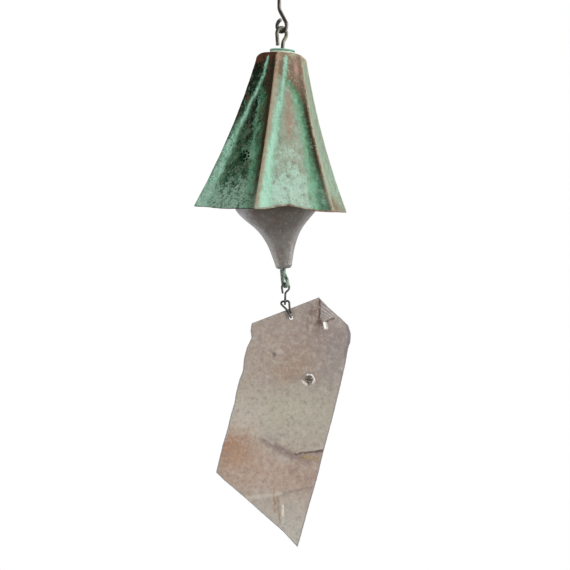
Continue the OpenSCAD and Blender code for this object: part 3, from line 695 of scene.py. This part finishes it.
# Clapper. A hollow trumpet cast in bronze and threaded on its wire, mouth up, so that its rim
# strikes the bell. It is grey with a warm brown mottle, darkest in front up under the bell, where
# painted shade is laid in with it and a painted shadow band runs round its top under the bell;
# its flanks are painted paler as a reflection.
TIP_FLAT = 0.0043
TIP_RADIUS = 0.0072
TIP_ROUND = 0.0034
WAIST_RADIUS = 0.0208
WAIST_HEIGHT = 0.0355
CLAPPER_RADIUS = 0.0376
CLAPPER_HEIGHT = 0.059
CLAPPER_WALL = 0.003
TIP_SOLID = 0.016
BORE_FUNNEL = 0.002
LEAN_AT_TIP, LEAN_AT_WAIST, LEAN_AT_RIM = 13, 41, 8
TIP_ROWS, LOWER_ROWS, UPPER_ROWS, RIM_ROWS = 4, 60, 45, 5


def bend(ends, angles, handle_share, rows):
    """Points of a curve from one end to the other, with its lean from upright at each end."""
    reach = handle_share * (ends[1][1] - ends[0][1])
    leans = [Vector((math.sin(math.radians(a)), math.cos(math.radians(a)))) * reach for a in angles]
    first, last = (Vector(end) for end in ends)
    hands = [first, first + leans[0], last - leans[1], last]
    weights = [1, 3, 3, 1]
    return [sum((hands[i] * weights[i] * (1 - t) ** (3 - i) * t ** i for i in range(4)), Vector((0, 0)))
            for t in steps(rows)]


rim_middle = CLAPPER_HEIGHT - CLAPPER_WALL / 2
waist = (WAIST_RADIUS, WAIST_HEIGHT)
lower = bend([(TIP_RADIUS, TIP_ROUND), waist], (LEAN_AT_TIP, LEAN_AT_WAIST), 0.38, LOWER_ROWS)
upper = bend([waist, (CLAPPER_RADIUS, rim_middle)], (LEAN_AT_WAIST, LEAN_AT_RIM), 0.4, UPPER_ROWS)
outer = lower + upper[1:]
across_wall = [(b - a).orthogonal().normalized() * CLAPPER_WALL for a, b in zip(outer, outer[1:])]
inner = [point + wall for point, wall in zip(outer, across_wall + across_wall[-1:])]
rim_turns = [t * math.pi for t in steps(RIM_ROWS, 1)]
clapper_rings = [ring(BORE_RADIUS, 0), ring(TIP_FLAT, 0)]
clapper_rings += [ring(TIP_FLAT + (TIP_RADIUS - TIP_FLAT) * sine, -TIP_ROUND * (1 - cosine))
                  for sine, cosine in quarter(TIP_ROWS)]
clapper_rings += [ring(p.x, -p.y) for p in outer[1:]]
clapper_rings += [ring(CLAPPER_RADIUS - CLAPPER_WALL / 2 * (1 - math.cos(turn)),
                       -rim_middle - CLAPPER_WALL / 2 * math.sin(turn)) for turn in rim_turns]
clapper_rings += [ring(p.x, -p.y, outside=0) for p in reversed(inner) if p.y > TIP_SOLID]
clapper_rings += [ring(BORE_RADIUS + BORE_FUNNEL, -TIP_SOLID, outside=0),
                  ring(BORE_RADIUS, -TIP_SOLID, outside=0), ring(BORE_RADIUS, 0, outside=0)]


def clapper_finish():
    """Grey bronze with a brown mottle that is densest up under the bell, partly painted shade, a painted
    shadow band round its top, and flanks painted paler as a reflection.
    """
    paint = Paint("clapper", (112, 108, 104), metallic=0.8)
    coat, grain = paint.coat, paint.grain
    cloud = grain(0.02, shift=0.6)
    blotch = grain(0.005, detail=6, rough=0.65, shift=1.4)
    fleck = grain(0.0021, detail=5, rough=0.7, shift=2.6)
    dust = grain(0.0013, rough=0.7, shift=4.4)
    rose = grain(0.006, detail=6, shift=3.3)
    speckle = blotch.mixed(fleck)
    level = paint.axis("Z")
    turned = paint.axis("X", facing=True).frayed(blotch, 0.3)
    high = level.frayed(cloud, 0.02).step(-0.262, -0.23)
    painted_flank = (-turned).step(0.4, 0.7).either(turned.step(0.52, 0.85) * 0.8)
    # Brown mottle, denser high up: the clapper's own colour, with painted shade under the bell
    coat((84, 79, 75), speckle.cover(0.25 + high * 0.35, 0.35))
    coat((98, 76, 74), rose.cover(0.2 + high * 0.3, 0.3) * 0.7)
    coat((78, 82, 68), fleck.cover(0.14 + high * 0.2, 0.3) * 0.8)
    coat((140, 136, 130), speckle.cover(0.3 - high * 0.2, 0.35) * 0.8)
    coat((60, 54, 48), dust.cover(0.14, 0.25) * 0.7)
    # Painted reflection: paler flanks, strongest high up
    coat((168, 168, 170), painted_flank * (0.05 + high * 0.5 + speckle * 0.35))
    # Painted shadow of the bell: a dark band round the clapper's top
    coat((50, 42, 34), level.frayed(blotch, 0.008).step(-0.236, -0.226) * 0.6)
    coat((60, 52, 42), (1 - paint.value("outside")) * 0.8)
    return paint.finish(0.36 + fleck * 0.15, speckle + dust * 0.5, 0.0005)


# One plain round panel: no flutes, no slant, and the pit far off
clapper = spun("clapper_casting", spun_casting, clapper_rings, {name: [0] for name in PANEL_SHARES},
               joint_frame("clapper_spin"), clapper_finish(),
               Around=300, Panels=1, Height=1.0, Flute_width=1.0, Ridge_rounding=1.0, Arch_shift=1.0,
               Arch_power=1.0, Lump_height=0.00022, Lump_size=0.009,
               Pit_height=1.0, Pit_radius=0.001, Pit_ring=0.001)
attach(clapper, "clapper")
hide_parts("clapper")


# Lower hook. Light wire with an open hook above and a nearly closed one below, bent across each
# other. It hangs in the clapper wire's loop and is all but black.
repaint("lower_hook", wire_finish("lower_hook", (40, 40, 42), (84, 84, 84), (104, 106, 104),
                                  bloom_share=0.1, painted_highlight=(92, 92, 94)))


# Sail link. Light wire bent as a small heart. One leg passes through the sail's hole and comes up
# behind it, so the plate hangs and turns on the wire.
repaint("sail_link", wire_finish("sail_link", (40, 38, 38), (88, 86, 82), (132, 130, 124),
                                 bloom_share=0.12, painted_highlight=(98, 96, 94)))


# Sail. A thin cast bronze plate with a ragged left edge and a corner bent back. It is warm grey
# with copper stains, folds in the casting skin with painted shade and highlights along them, a hammered
# boss with painted shade in it and a painted highlight on its rim, a slit and the hanging hole.
SAIL_THICKNESS = 0.0018
SAIL_ROWS = 300
SAIL_COLUMNS = 120
HOLE_DIAMETER = 0.0032
SLIT_SIZE = (0.0019, 0.0062)
SLIT_TILT = math.radians(12)
SAIL_DOUBLES = 0.00001
CUTTER_SIDES = 32
CUTTER_OVER = 0.004
# Boss: its rim and the edge of its hollow in radii from its middle, and the side where the rim is highest and
# its highlight is painted
BOSS_RADIUS = 0.0047
BOSS_HEIGHT = 0.0009
BOSS_RIM, BOSS_RIM_WIDTH = 0.95, 0.34
BOSS_HOLLOW, BOSS_HOLLOW_FADE = 0.9, 0.5
BOSS_BRIGHT = Vector((0.8, 0.6))
BOSS_UNEVEN = 0.3
# The corner that is bent back: how far, over what width and length, and its striped flap
BEND_BACK = 0.0055
BEND_CURVE = 0.02
BEND_LENGTH = 0.03
BEND_FADE = 0.022
FLAP_EDGE = 0.003
FLAP_LENGTH = 0.021
FLAP_FADE = 0.012
# Noise of the plate: how far it moves the surface, its waves in a metre, and its seed
SAG, SAG_WAVES, SAG_SEED = 0.0012, 14, 7.7
SKIN, SKIN_WAVES, SKIN_SEED = 0.00022, 70, 1.7
SKIN_ROUGHNESS, SKIN_GAP, SKIN_OCTAVES = 0.9, 2.1, 4
FINE_SKIN, FINE_WAVES, FINE_SEED = 0.00006, 600, 4.1
STRAY, STRAY_WAVES = 0.0011, 210
FOLD_SEED = 0.3
BOSS_SEED = 3.3
# Edges: how far they are ragged, their waves down and across the plate, and the share of its width
# within which they are ragged. Then the part of the thickness that they lose, and over what share.
RAGGED_EDGE, RAGGED_SEED = 0.0004, 2.2
RAGGED_DOWN, RAGGED_ACROSS = 90, 3
RAGGED_SHARE = 1 / 14
EDGE_THINNING = 0.25
THINNING_SHARE = 1 / 90
# Share of the front's relief that shows through behind, and the facing up to which a point is in front
BACK_RELIEF = 0.4
FRONT_FACING = 0.3
# The plate's left and right edges from the peak to the point: shares across and down
LEFT_EDGE = [(0.762, 0), (0.264, 0.104), (0.255, 0.132), (0.263, 0.162), (0.229, 0.2), (0.207, 0.244),
             (0.199, 0.292), (0.169, 0.336), (0.147, 0.384), (0.136, 0.424), (0.11, 0.468), (0.084, 0.528),
             (0.046, 0.596), (0.024, 0.648), (0, 0.7), (0.061, 0.732), (0.218, 0.804), (0.367, 0.876),
             (0.494, 0.936), (0.604, 1)]
RIGHT_EDGE = [(0.762, 0), (0.846, 0.046), (0.929, 0.085), (0.98, 0.112), (1, 0.145), (0.996, 0.178),
              (0.98, 0.204), (0.956, 0.276), (0.915, 0.372), (0.86, 0.492), (0.8, 0.612), (0.746, 0.732),
              (0.681, 0.852), (0.621, 0.972), (0.604, 1)]

sail_low, sail_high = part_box("sail")
sail_width = sail_high.x - sail_low.x
sail_height = sail_high.z - sail_low.z


def on_plate(*shares):
    """Points in metres from the plate's upper left corner, by their shares across and down."""
    return [Vector((across * sail_width, -down * sail_height)) for across, down in shares]


# Openings, spots, folds, scratches and stains in the face
HOLE, SLIT, BOSS, SAIL_PIT, PIT_BUMP = on_plate(
    (0.5573, 0.0821), (0.806, 0.112), (0.688, 0.33), (0.435, 0.229), (0.468, 0.216))
CORNER_FOLD = on_plate((0.765, 0.004), (0.768, 0.03), (0.762, 0.078), (0.765, 0.1))
DARK_FOLD = on_plate((0.358, 0.569), (0.415, 0.589), (0.474, 0.606), (0.519, 0.622), (0.563, 0.634),
                     (0.61, 0.632))
SHARP_FOLD = on_plate((0.59, 0.628), (0.64, 0.622), (0.6965, 0.619), (0.79, 0.612))
# The light lines mark where painted highlights lie on raised edges of the folds
SHARP_LIGHT = on_plate((0.6, 0.62), (0.667, 0.614), (0.726, 0.609), (0.79, 0.604))
FOLD_LIGHT = on_plate((0.354, 0.558), (0.39, 0.572), (0.42, 0.584))
LOW_FOLD = on_plate((0.486, 0.781), (0.585, 0.776), (0.645, 0.768), (0.7, 0.763))
LOW_LIGHT = on_plate((0.23, 0.802), (0.326, 0.797), (0.43, 0.79), (0.48, 0.784))
UPRIGHT_FOLD = on_plate((0.426, 0.764), (0.43, 0.81), (0.437, 0.857))
UPRIGHT_TWIN = on_plate((0.456, 0.79), (0.462, 0.84), (0.478, 0.905))
NUB = on_plate((0.494, 0.834), (0.494, 0.872))
NUB_FOOT = on_plate((0.494, 0.872), (0.487, 0.905))
# Painted shade left of the slit, a painted highlight on its right lip, and a painted shadow running right
# from it
SLIT_SHADE = on_plate((0.769, 0.094), (0.779, 0.112))
SLIT_LIP = on_plate((0.813, 0.102), (0.822, 0.124))
SLIT_TAIL = on_plate((0.81, 0.1), (0.845, 0.088), (0.875, 0.087))
OCHRE = on_plate((0.637, 0.643), (0.682, 0.637), (0.726, 0.646), (0.756, 0.64))
# Relief of the folds: the width beside the line, and the height above the face, below 0 for a groove
UNEVEN_RELIEF = [(DARK_FOLD, 0.0026, -0.00045), (SHARP_FOLD, 0.0012, -0.0005), (SHARP_LIGHT, 0.0012, 0.0003),
                 (LOW_FOLD, 0.002, -0.00025), (LOW_LIGHT, 0.0024, 0.0002), (UPRIGHT_FOLD, 0.0016, -0.0003)]
CLEAN_RELIEF = [(NUB + NUB_FOOT[1:], 0.0013, 0.0005), (CORNER_FOLD, 0.0014, -0.0004)]
SPOT_RELIEF = [(SAIL_PIT, 0.0024, -0.0005), (PIT_BUMP, 0.004, 0.0003)]
# Colour of the folds and spots: the lines of each kind, and how far the colour reaches from them.
# The dark, low and sharp kinds are painted shade along the folds and beside the slit, and the light
# and pale kinds painted highlights on raised edges, the nub and the slit's lip
FOLD_COLOURS = {
    "fold_shade": [(DARK_FOLD, 0.0062), (SHARP_FOLD, 0.0036)],
    "fold_low_shade": [(LOW_FOLD, 0.0021)],
    "fold_sharp_shade": [(SHARP_FOLD, 0.0016), (CORNER_FOLD, 0.0018), (SLIT_TAIL, 0.0016), (SLIT_SHADE, 0.0042)],
    "fold_highlight": [(NUB, 0.0019), (SLIT_LIP, 0.0018)],
    "fold_pale_highlight": [(FOLD_LIGHT, 0.0026), (LOW_LIGHT, 0.0026), (SHARP_LIGHT, 0.0019), (NUB_FOOT, 0.0016)],
    "stain": [(UPRIGHT_FOLD, 0.0021), (UPRIGHT_TWIN, 0.0019)],
    "ochre": [(OCHRE, 0.004)]}
SPOT_COLOURS = {"spot": (SAIL_PIT, 0.0034), "spot_light": (PIT_BUMP, 0.0045)}


def edge_at(edge, down):
    """Share across at which an edge lies at this share down."""
    for (x0, z0), (x1, z1) in zip(edge, edge[1:]):
        if down <= z1:
            return x0 + (x1 - x0) * (down - z0) / (z1 - z0)
    return edge[-1][0]


def near_line(point, line, width):
    """1 on a line, falling to 0 at the width beside it."""
    nearest = 1.0
    for a, b in zip(line, line[1:]):
        t = max(0, min(1, (point - a).dot(b - a) / (b - a).length_squared))
        nearest = min(nearest, (point - a - (b - a) * t).length)
    return max(0, 1 - nearest / width)


def soft(value):
    """A smooth rise from 0 at 0 to 1 at 1."""
    value = max(0, min(1, value))
    return value * value * (3 - 2 * value)


def near_spot(point, spot, radius):
    """1 at a spot, falling to 0 at the radius."""
    return max(0, 1 - (point - spot).length / radius)


def lump(point, scale, seed):
    """Smooth noise at a point of the plate, from -1 to 1."""
    return noise.noise(Vector((point.x * scale, point.y * scale, seed)))


def strayed(point, seed):
    """A point moved about a millimetre at most, so that what is drawn by it looks uneven."""
    return point + Vector((lump(point, STRAY_WAVES, seed), lump(point, STRAY_WAVES, seed + 9))) * STRAY


def sail_relief(point):
    """How far the front face stands out at a point, and the plate's bend back at it."""
    moved = strayed(point, FOLD_SEED)
    waves = Vector((point.x * SKIN_WAVES, point.y * SKIN_WAVES, SKIN_SEED))
    out = noise.fractal(waves, SKIN_ROUGHNESS, SKIN_GAP, SKIN_OCTAVES) * SKIN
    out += lump(point, FINE_WAVES, FINE_SEED) * FINE_SKIN
    for at, folds in ((moved, UNEVEN_RELIEF), (point, CLEAN_RELIEF)):
        for line, width, height in folds:
            out += soft(near_line(at, line, width)) * height
    for spot, radius, height in SPOT_RELIEF:
        out += soft(near_spot(moved, spot, radius)) * height
    boss = (strayed(point, BOSS_SEED) - BOSS).length / BOSS_RADIUS
    rim_share = 1 - BOSS_UNEVEN + BOSS_UNEVEN * (point - BOSS).normalized().dot(BOSS_BRIGHT)
    out += soft(1 - abs(boss - BOSS_RIM) / BOSS_RIM_WIDTH) * BOSS_HEIGHT * rim_share
    out -= soft((BOSS_HOLLOW - boss) / BOSS_HOLLOW_FADE) * BOSS_HEIGHT
    back = soft(lump(point, SAG_WAVES, SAG_SEED) + 0.5) * SAG
    fold = CORNER_FOLD[0]
    along = (CORNER_FOLD[-1] - fold).normalized()
    beside = (point - fold).dot(Vector((-along.y, along.x)))
    reach = soft((BEND_LENGTH + (point.y - fold.y)) / BEND_FADE)
    back += soft(beside / BEND_CURVE) * BEND_BACK * reach
    return out, back


def settled(shape, name):
    """The mesh that was being built, as a finished one."""
    mesh = bpy.data.meshes.new(name)
    shape.to_mesh(mesh)
    shape.free()
    return mesh


def sail_mesh():
    """The plate as two skins of rows and columns between its edges, and a rim that joins them."""
    front_y = sail_high.y - SAIL_THICKNESS
    grid = bmesh.new()
    layers = []
    for skin in (0, 1):
        rows = []
        for j in range(SAIL_ROWS + 1):
            down = j / SAIL_ROWS
            left, right = edge_at(LEFT_EDGE, down), edge_at(RIGHT_EDGE, down)
            line = []
            for i in range(SAIL_COLUMNS + 1):
                t = i / SAIL_COLUMNS
                point, = on_plate((left + (right - left) * t, down))
                from_edge = min(t, 1 - t)
                waves = noise.noise(Vector((down * RAGGED_DOWN, t * RAGGED_ACROSS, RAGGED_SEED)))
                ragged = abs(waves) * RAGGED_EDGE * soft(1 - from_edge / RAGGED_SHARE)
                point.x += ragged if t < 0.5 else -ragged
                out, back = sail_relief(point)
                thinning = soft(1 - from_edge * (right - left) / THINNING_SHARE)
                thin = SAIL_THICKNESS * EDGE_THINNING * thinning
                depth = thin - out if skin == 0 else SAIL_THICKNESS - thin - out * BACK_RELIEF
                line.append(grid.verts.new((sail_low.x + point.x, front_y + back + depth,
                                            sail_high.z + point.y)))
            rows.append(line)
        layers.append(rows)
    for skin, rows in enumerate(layers):
        for upper_line, lower_line in zip(rows, rows[1:]):
            for i in range(SAIL_COLUMNS):
                corners = [upper_line[i], lower_line[i], lower_line[i + 1], upper_line[i + 1]]
                grid.faces.new(corners if skin == 0 else corners[::-1])
    for i in (0, SAIL_COLUMNS):
        for j in range(SAIL_ROWS):
            grid.faces.new([layers[0][j][i], layers[0][j + 1][i], layers[1][j + 1][i], layers[1][j][i]])
    for j in (0, SAIL_ROWS):
        for i in range(SAIL_COLUMNS):
            grid.faces.new([layers[0][j][i], layers[0][j][i + 1], layers[1][j][i + 1], layers[1][j][i]])
    bmesh.ops.remove_doubles(grid, verts=grid.verts, dist=SAIL_DOUBLES)
    bmesh.ops.dissolve_degenerate(grid, edges=grid.edges, dist=SAIL_DOUBLES)
    bmesh.ops.recalc_face_normals(grid, faces=grid.faces)
    return settled(grid, "sail_plate")


def cut(piece, cutter_mesh):
    """Cuts a hole of this shape out of a piece."""
    cutter = add("cutter", cutter_mesh)
    modifier = piece.modifiers.new("cut", "BOOLEAN")
    modifier.object = cutter
    modifier.solver = "EXACT"
    depsgraph = bpy.context.evaluated_depsgraph_get()
    done = bpy.data.meshes.new_from_object(piece.evaluated_get(depsgraph), depsgraph=depsgraph)
    piece.modifiers.remove(modifier)
    piece.data = done
    bpy.data.objects.remove(cutter)


def round_cutter(place, width, length, tilt):
    """A slot with round ends, or a round hole where its length is its width."""
    centre = place + Vector((sail_low.x, sail_high.z))
    lean = Matrix.Rotation(tilt, 2)
    shape = bmesh.new()
    outline = []
    for i in range(CUTTER_SIDES):
        angle = i / CUTTER_SIDES * math.tau
        stretch = math.copysign((length - width) / 2, math.sin(angle))
        outline.append(centre + lean @ Vector((math.cos(angle) * width / 2,
                                               math.sin(angle) * width / 2 + stretch)))
    rings = [[shape.verts.new((p.x, y, p.y)) for p in outline]
             for y in (sail_low.y - CUTTER_OVER, sail_high.y + CUTTER_OVER + BEND_BACK)]
    shape.faces.new(rings[0])
    shape.faces.new(rings[1][::-1])
    for i in range(CUTTER_SIDES):
        k = (i + 1) % CUTTER_SIDES
        shape.faces.new([rings[0][i], rings[1][i], rings[1][k], rings[0][k]])
    bmesh.ops.recalc_face_normals(shape, faces=shape.faces)
    return settled(shape, "cutter")


def mark(mesh):
    """Keeps on each point how near it is to each fold, stain, spot and edge of the face."""
    values = {}
    corner = CORNER_FOLD[0]
    for vertex in mesh.vertices:
        point = Vector((vertex.co.x - sail_low.x, vertex.co.z - sail_high.z))
        moved = strayed(point, FOLD_SEED)
        from_boss = strayed(point, BOSS_SEED) - BOSS
        down = -point.y / sail_height
        here = {}
        for name, drawn in FOLD_COLOURS.items():
            at = point if name == "fold_highlight" else moved
            here[name] = max(near_line(at, line, width) for line, width in drawn)
        for name, (spot, radius) in SPOT_COLOURS.items():
            here[name] = near_spot(moved, spot, radius)
        here["boss"] = from_boss.length / BOSS_RADIUS
        here["boss_side"] = from_boss.normalized().dot(BOSS_BRIGHT)
        here["front"] = 1 if vertex.normal.y < FRONT_FACING else 0
        here["edge"] = point.x - edge_at(LEFT_EDGE, down) * sail_width
        here["edge_right"] = edge_at(RIGHT_EDGE, down) * sail_width - point.x
        here["flap"] = soft((point.x - corner.x) / FLAP_EDGE)
        here["flap"] *= soft((FLAP_LENGTH + point.y - corner.y) / FLAP_FADE)
        for name, number in here.items():
            values.setdefault(name, []).append(number)
    note(mesh, values)


def sail_finish():
    """Warm grey skin of the plate with its clouds, stains, folds, pits and edges, and painted shade and
    highlights at its folds, slit, boss and edges.
    """
    paint = Paint("sail", (161, 150, 139), metallic=0.0, gloss=0.3)
    coat, grain = paint.coat, paint.grain
    cloud = grain(0.03, shift=0.2)
    drift = grain(0.013, detail=5, shift=5.7)
    blotch = grain(0.006, shift=1.2)
    fleck = grain(0.003, rough=0.65, shift=2.4)
    dust = grain(0.0017, detail=3, rough=0.7, shift=4.4)
    speckle = blotch.mixed(fleck)
    x_place, z_place = paint.axis("X"), paint.axis("Z")
    across = ((x_place - sail_low.x) / sail_width).frayed(drift, 0.3).frayed(fleck, 0.06)
    down = ((sail_high.z - z_place) / sail_height).frayed(cloud, 0.12).frayed(blotch, 0.08)
    along_corner = (x_place * 0.64 + z_place * 0.77) / 0.0021 * math.tau
    stripes = along_corner.frayed(drift, 16).frayed(fleck, 5).math("SINE") * 0.5 + 0.5

    def stain(x, z, wide, high):
        """1 in the middle of a stain, fading off towards its ragged outline."""
        return (((across - x) / wide) ** 2 + ((down - z) / high) ** 2).decay()

    def patch(colour, x, z, wide, high, share, broken=speckle):
        """Lays a colour in a stain, broken up by a grain."""
        coat(colour, stain(x, z, wide, high) * (broken * 1.6 + (share * 1.1 - 0.8)))

    # Clouds of the skin: paler below, greyer and violet above, green-beige across the middle
    coat((174, 166, 153), drift.cover(0.2 + down * 0.35, 0.4))
    coat((154, 147, 145), drift.cover(0.45 - down * 0.7, 0.45))
    patch((173, 169, 151), 0.52, 0.46, 0.45, 0.13, 0.85)
    patch((187, 179, 167), 0.2, 0.49, 0.16, 0.1, 0.9)
    patch((156, 134, 122), 0.6, 0.17, 0.26, 0.12, 0.75)
    patch((138, 118, 112), 0.86, 0.17, 0.1, 0.05, 0.8, fleck)
    patch((144, 134, 130), 0.86, 0.26, 0.16, 0.14, 0.7)
    patch((154, 130, 112), 0.56, 0.28, 0.16, 0.06, 0.8)
    patch((170, 150, 136), 0.25, 0.25, 0.2, 0.16, 0.5)
    patch((176, 152, 138), 0.42, 0.7, 0.4, 0.1, 0.85)
    patch((156, 130, 114), 0.62, 0.7, 0.16, 0.06, 0.6)
    patch((158, 112, 80), 0.12, 0.61, 0.13, 0.09, 1.0)
    patch((172, 146, 126), 0.2, 0.66, 0.14, 0.08, 0.7)
    patch((138, 116, 108), 0.71, 0.63, 0.12, 0.025, 0.7)
    coat((178, 173, 164), speckle.cover(down.step(0.8, 0.92) * 0.7, 0.4) * down.step(0.76, 0.84))

    # Mottle of the casting, dark and light, and small grey-green pits here and there
    coat((136, 128, 124), blotch.cover(0.16, 0.35) * 0.65)
    coat((190, 183, 172), (1 - blotch).cover(0.13, 0.35) * 0.5)
    coat((130, 121, 116), fleck.cover(0.22, 0.32) * 0.7)
    coat((190, 182, 171), (1 - fleck).cover(0.18, 0.34) * 0.5)
    coat((134, 124, 116), dust.cover(0.2, 0.35) * 0.4)
    pits = paint.pits(0.012, shift=0.7).frayed(fleck, 0.12)
    coat((112, 114, 104), (1 - pits.step(0.04, 0.1)) * 0.65)

    # Folds, the corner that is bent back, and the hammered boss, with their painted shade and highlights
    # Painted shade left of the corner's fold
    patch((112, 86, 72), 0.742, 0.055, 0.03, 0.05, 0.5, fleck)
    patch((112, 86, 72), 0.755, 0.115, 0.045, 0.03, 0.45, fleck)
    front = paint.value("front")
    flap = paint.value("flap") * front

    def line(name, low, high, strength):
        """The lines of one kind in the front face, fading off beside them."""
        return paint.value(name).step(low, high) * fleck.cover(0.82, 0.38) * front * strength

    coat((154, 144, 142), flap * 0.7)
    coat((96, 84, 82), flap * stripes.step(0.45, 1.0) * speckle.cover(0.65, 0.35) * 0.75)
    coat((196, 188, 182), flap * (1 - stripes).step(0.75, 1.0) * 0.5)
    # Painted shade along the dark and low folds
    coat((126, 110, 105), line("fold_shade", 0.0, 1.0, 0.85))
    coat((132, 122, 116), line("fold_low_shade", 0.0, 1.0, 0.6))
    coat((158, 136, 94), line("ochre", 0.0, 1.0, 0.75) * (1 - dust).cover(0.65, 0.3))
    coat((124, 102, 66), line("ochre", 0.4, 1.0, 0.8) * dust.cover(0.36, 0.2))
    # Painted shade along the sharp folds, the corner's fold and beside the slit
    coat((80, 62, 54), line("fold_sharp_shade", 0.1, 0.8, 0.85))
    coat((148, 122, 100), line("stain", 0.1, 0.9, 0.75))
    # Painted highlights on the nub, the slit's lip and the raised edges of folds
    coat((214, 208, 196), line("fold_highlight", 0.15, 0.8, 0.9))
    coat((198, 189, 176), line("fold_pale_highlight", 0.1, 0.9, 0.5))
    coat((98, 94, 94), line("spot", 0.1, 0.8, 0.9))
    coat((188, 178, 168), line("spot_light", 0.1, 0.8, 0.6))
    boss_side = paint.value("boss_side")
    boss = paint.value("boss").frayed(fleck, 0.9)
    # The boss: painted shade in its hollow, with pale and dark flecks, a painted highlight on its rim, mostly
    # on its upper right, and a painted shadow round it
    hollow = 1 - boss.step(0.6, 1.1)
    coat((88, 78, 68), hollow * 0.9)
    coat((184, 174, 160), hollow * (1 - dust).cover(0.3, 0.2) * 0.9)
    coat((40, 32, 26), hollow * dust.cover(0.34, 0.2) * 0.85)
    rim_highlight = boss_side.step(-0.1, 0.5).either((-boss_side).step(0.75, 0.95) * 0.7)
    coat((236, 232, 226), boss.band(0.75, 1.15, 0.14) * rim_highlight * dust.cover(0.75, 0.3) * front)
    coat((104, 98, 98), boss.band(1.15, 1.5, 0.2) * speckle.cover(0.4, 0.35) * 0.6)

    # Edges: a dark bluish line along the left edge, and painted shade on the right edge's bevel, most of all
    # round the right corner
    edge = paint.value("edge").frayed(fleck, 0.0015)
    edge_right = paint.value("edge_right").frayed(fleck, 0.0015) - down.band(0.11, 0.24, 0.02) * 0.0016
    coat((128, 132, 140), (1 - edge.step(0.0005, 0.0015)) * 0.75)
    coat((116, 108, 114), (1 - edge_right.step(0.0004, 0.0018)) * 0.8)
    return paint.finish(0.5 + fleck * 0.3, blotch + fleck * 0.8 + dust * 0.4, 0.0008)


sail = add("sail_plate", sail_mesh())
cut(sail, round_cutter(HOLE, HOLE_DIAMETER, HOLE_DIAMETER, 0))
cut(sail, round_cutter(SLIT, *SLIT_SIZE, SLIT_TILT))
mark(sail.data)
sail.data.materials.clear()
sail.data.materials.append(sail_finish())
sail.data.shade_smooth()
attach(sail, "sail")
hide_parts("sail")


# Studio. A camera level with the wire links, a pale floor well below the sail, and soft light from
# a big lamp on the right and from all round.
CAMERA_DISTANCE = 1.6
VIEW_WIDTH = 0.4845
SENSOR_WIDTH = 36
CAMERA_AT = (0.0049, -CAMERA_DISTANCE, -0.2924)
FLOOR_DROP = 0.12
FLOOR_RADIUS = 0.5
AMBIENT = 0.46

camera_data = bpy.data.cameras.new("camera")
camera_data.sensor_width = SENSOR_WIDTH
camera_data.lens = SENSOR_WIDTH * CAMERA_DISTANCE / VIEW_WIDTH
camera = add("camera", camera_data)
camera.location = CAMERA_AT
camera.rotation_euler = (math.pi / 2, 0, 0)
bpy.context.scene.camera = camera

floor_shape = bmesh.new()
bmesh.ops.create_circle(floor_shape, cap_ends=True, segments=96, radius=FLOOR_RADIUS,
                        matrix=Matrix.Translation((0, 0, cad_low.z - FLOOR_DROP)))
floor = add("floor", settled(floor_shape, "floor"))
floor_paint = Paint("floor", (240, 240, 238), metallic=0.0)
floor.data.materials.append(floor_paint.finish(0.9, floor_paint.grain(0.01), 0.0001))

# The floor's under side is clear, so that it doesn't hide the bell from below
floor_tree = floor_paint.tree
under_side = floor_paint.node("NewGeometry").outputs["Backfacing"]
clear = floor_paint.node("BsdfTransparent").outputs["BSDF"]
sides = floor_paint.node("MixShader")
for place, socket in zip(sides.inputs, (under_side, floor_paint.shader.outputs["BSDF"], clear)):
    feed(floor_tree, place, socket)
feed(floor_tree, floor_tree.nodes["Material Output"].inputs["Surface"], sides.outputs[0])


def lamp(name, place, target, size, power):
    """A square soft lamp that faces a point."""
    data = bpy.data.lights.new(name, "AREA")
    data.size = size
    data.energy = power
    made = add(name, data)
    made.location = place
    made.rotation_euler = (Vector(target) - Vector(place)).to_track_quat("-Z", "Y").to_euler()


lamp("key", place=(1.1, -1.3, 0.5), target=(0, 0, -0.25), size=0.9, power=22)
lamp("fill", place=(-1.4, -1.2, 0.0), target=(0, 0, -0.3), size=1.2, power=4)
lamp("right_side", place=(1.4, 0.2, -0.1), target=(0, 0, -0.25), size=0.7, power=12)
lamp("left_side", place=(-1.4, 0.1, -0.25), target=(0, 0, -0.25), size=0.7, power=8)

world = bpy.data.worlds.new("studio")
bpy.context.scene.world = world
world.use_nodes = True
tree = world.node_tree
path = tree.nodes.new("ShaderNodeLightPath")
camera_ray, glossy_ray, clear_ray = (Field(tree, path.outputs[f"Is {kind} Ray"])
                                     for kind in ("Camera", "Glossy", "Transmission"))
seen = camera_ray.either(glossy_ray).either(clear_ray)
feed(tree, tree.nodes["Background"].inputs["Strength"], seen * (1 - AMBIENT) + AMBIENT)
feed(tree, tree.nodes["Background"].inputs["Color"], (1, 1, 1, 1))
bpy.context.scene.view_settings.view_transform = "Standard"
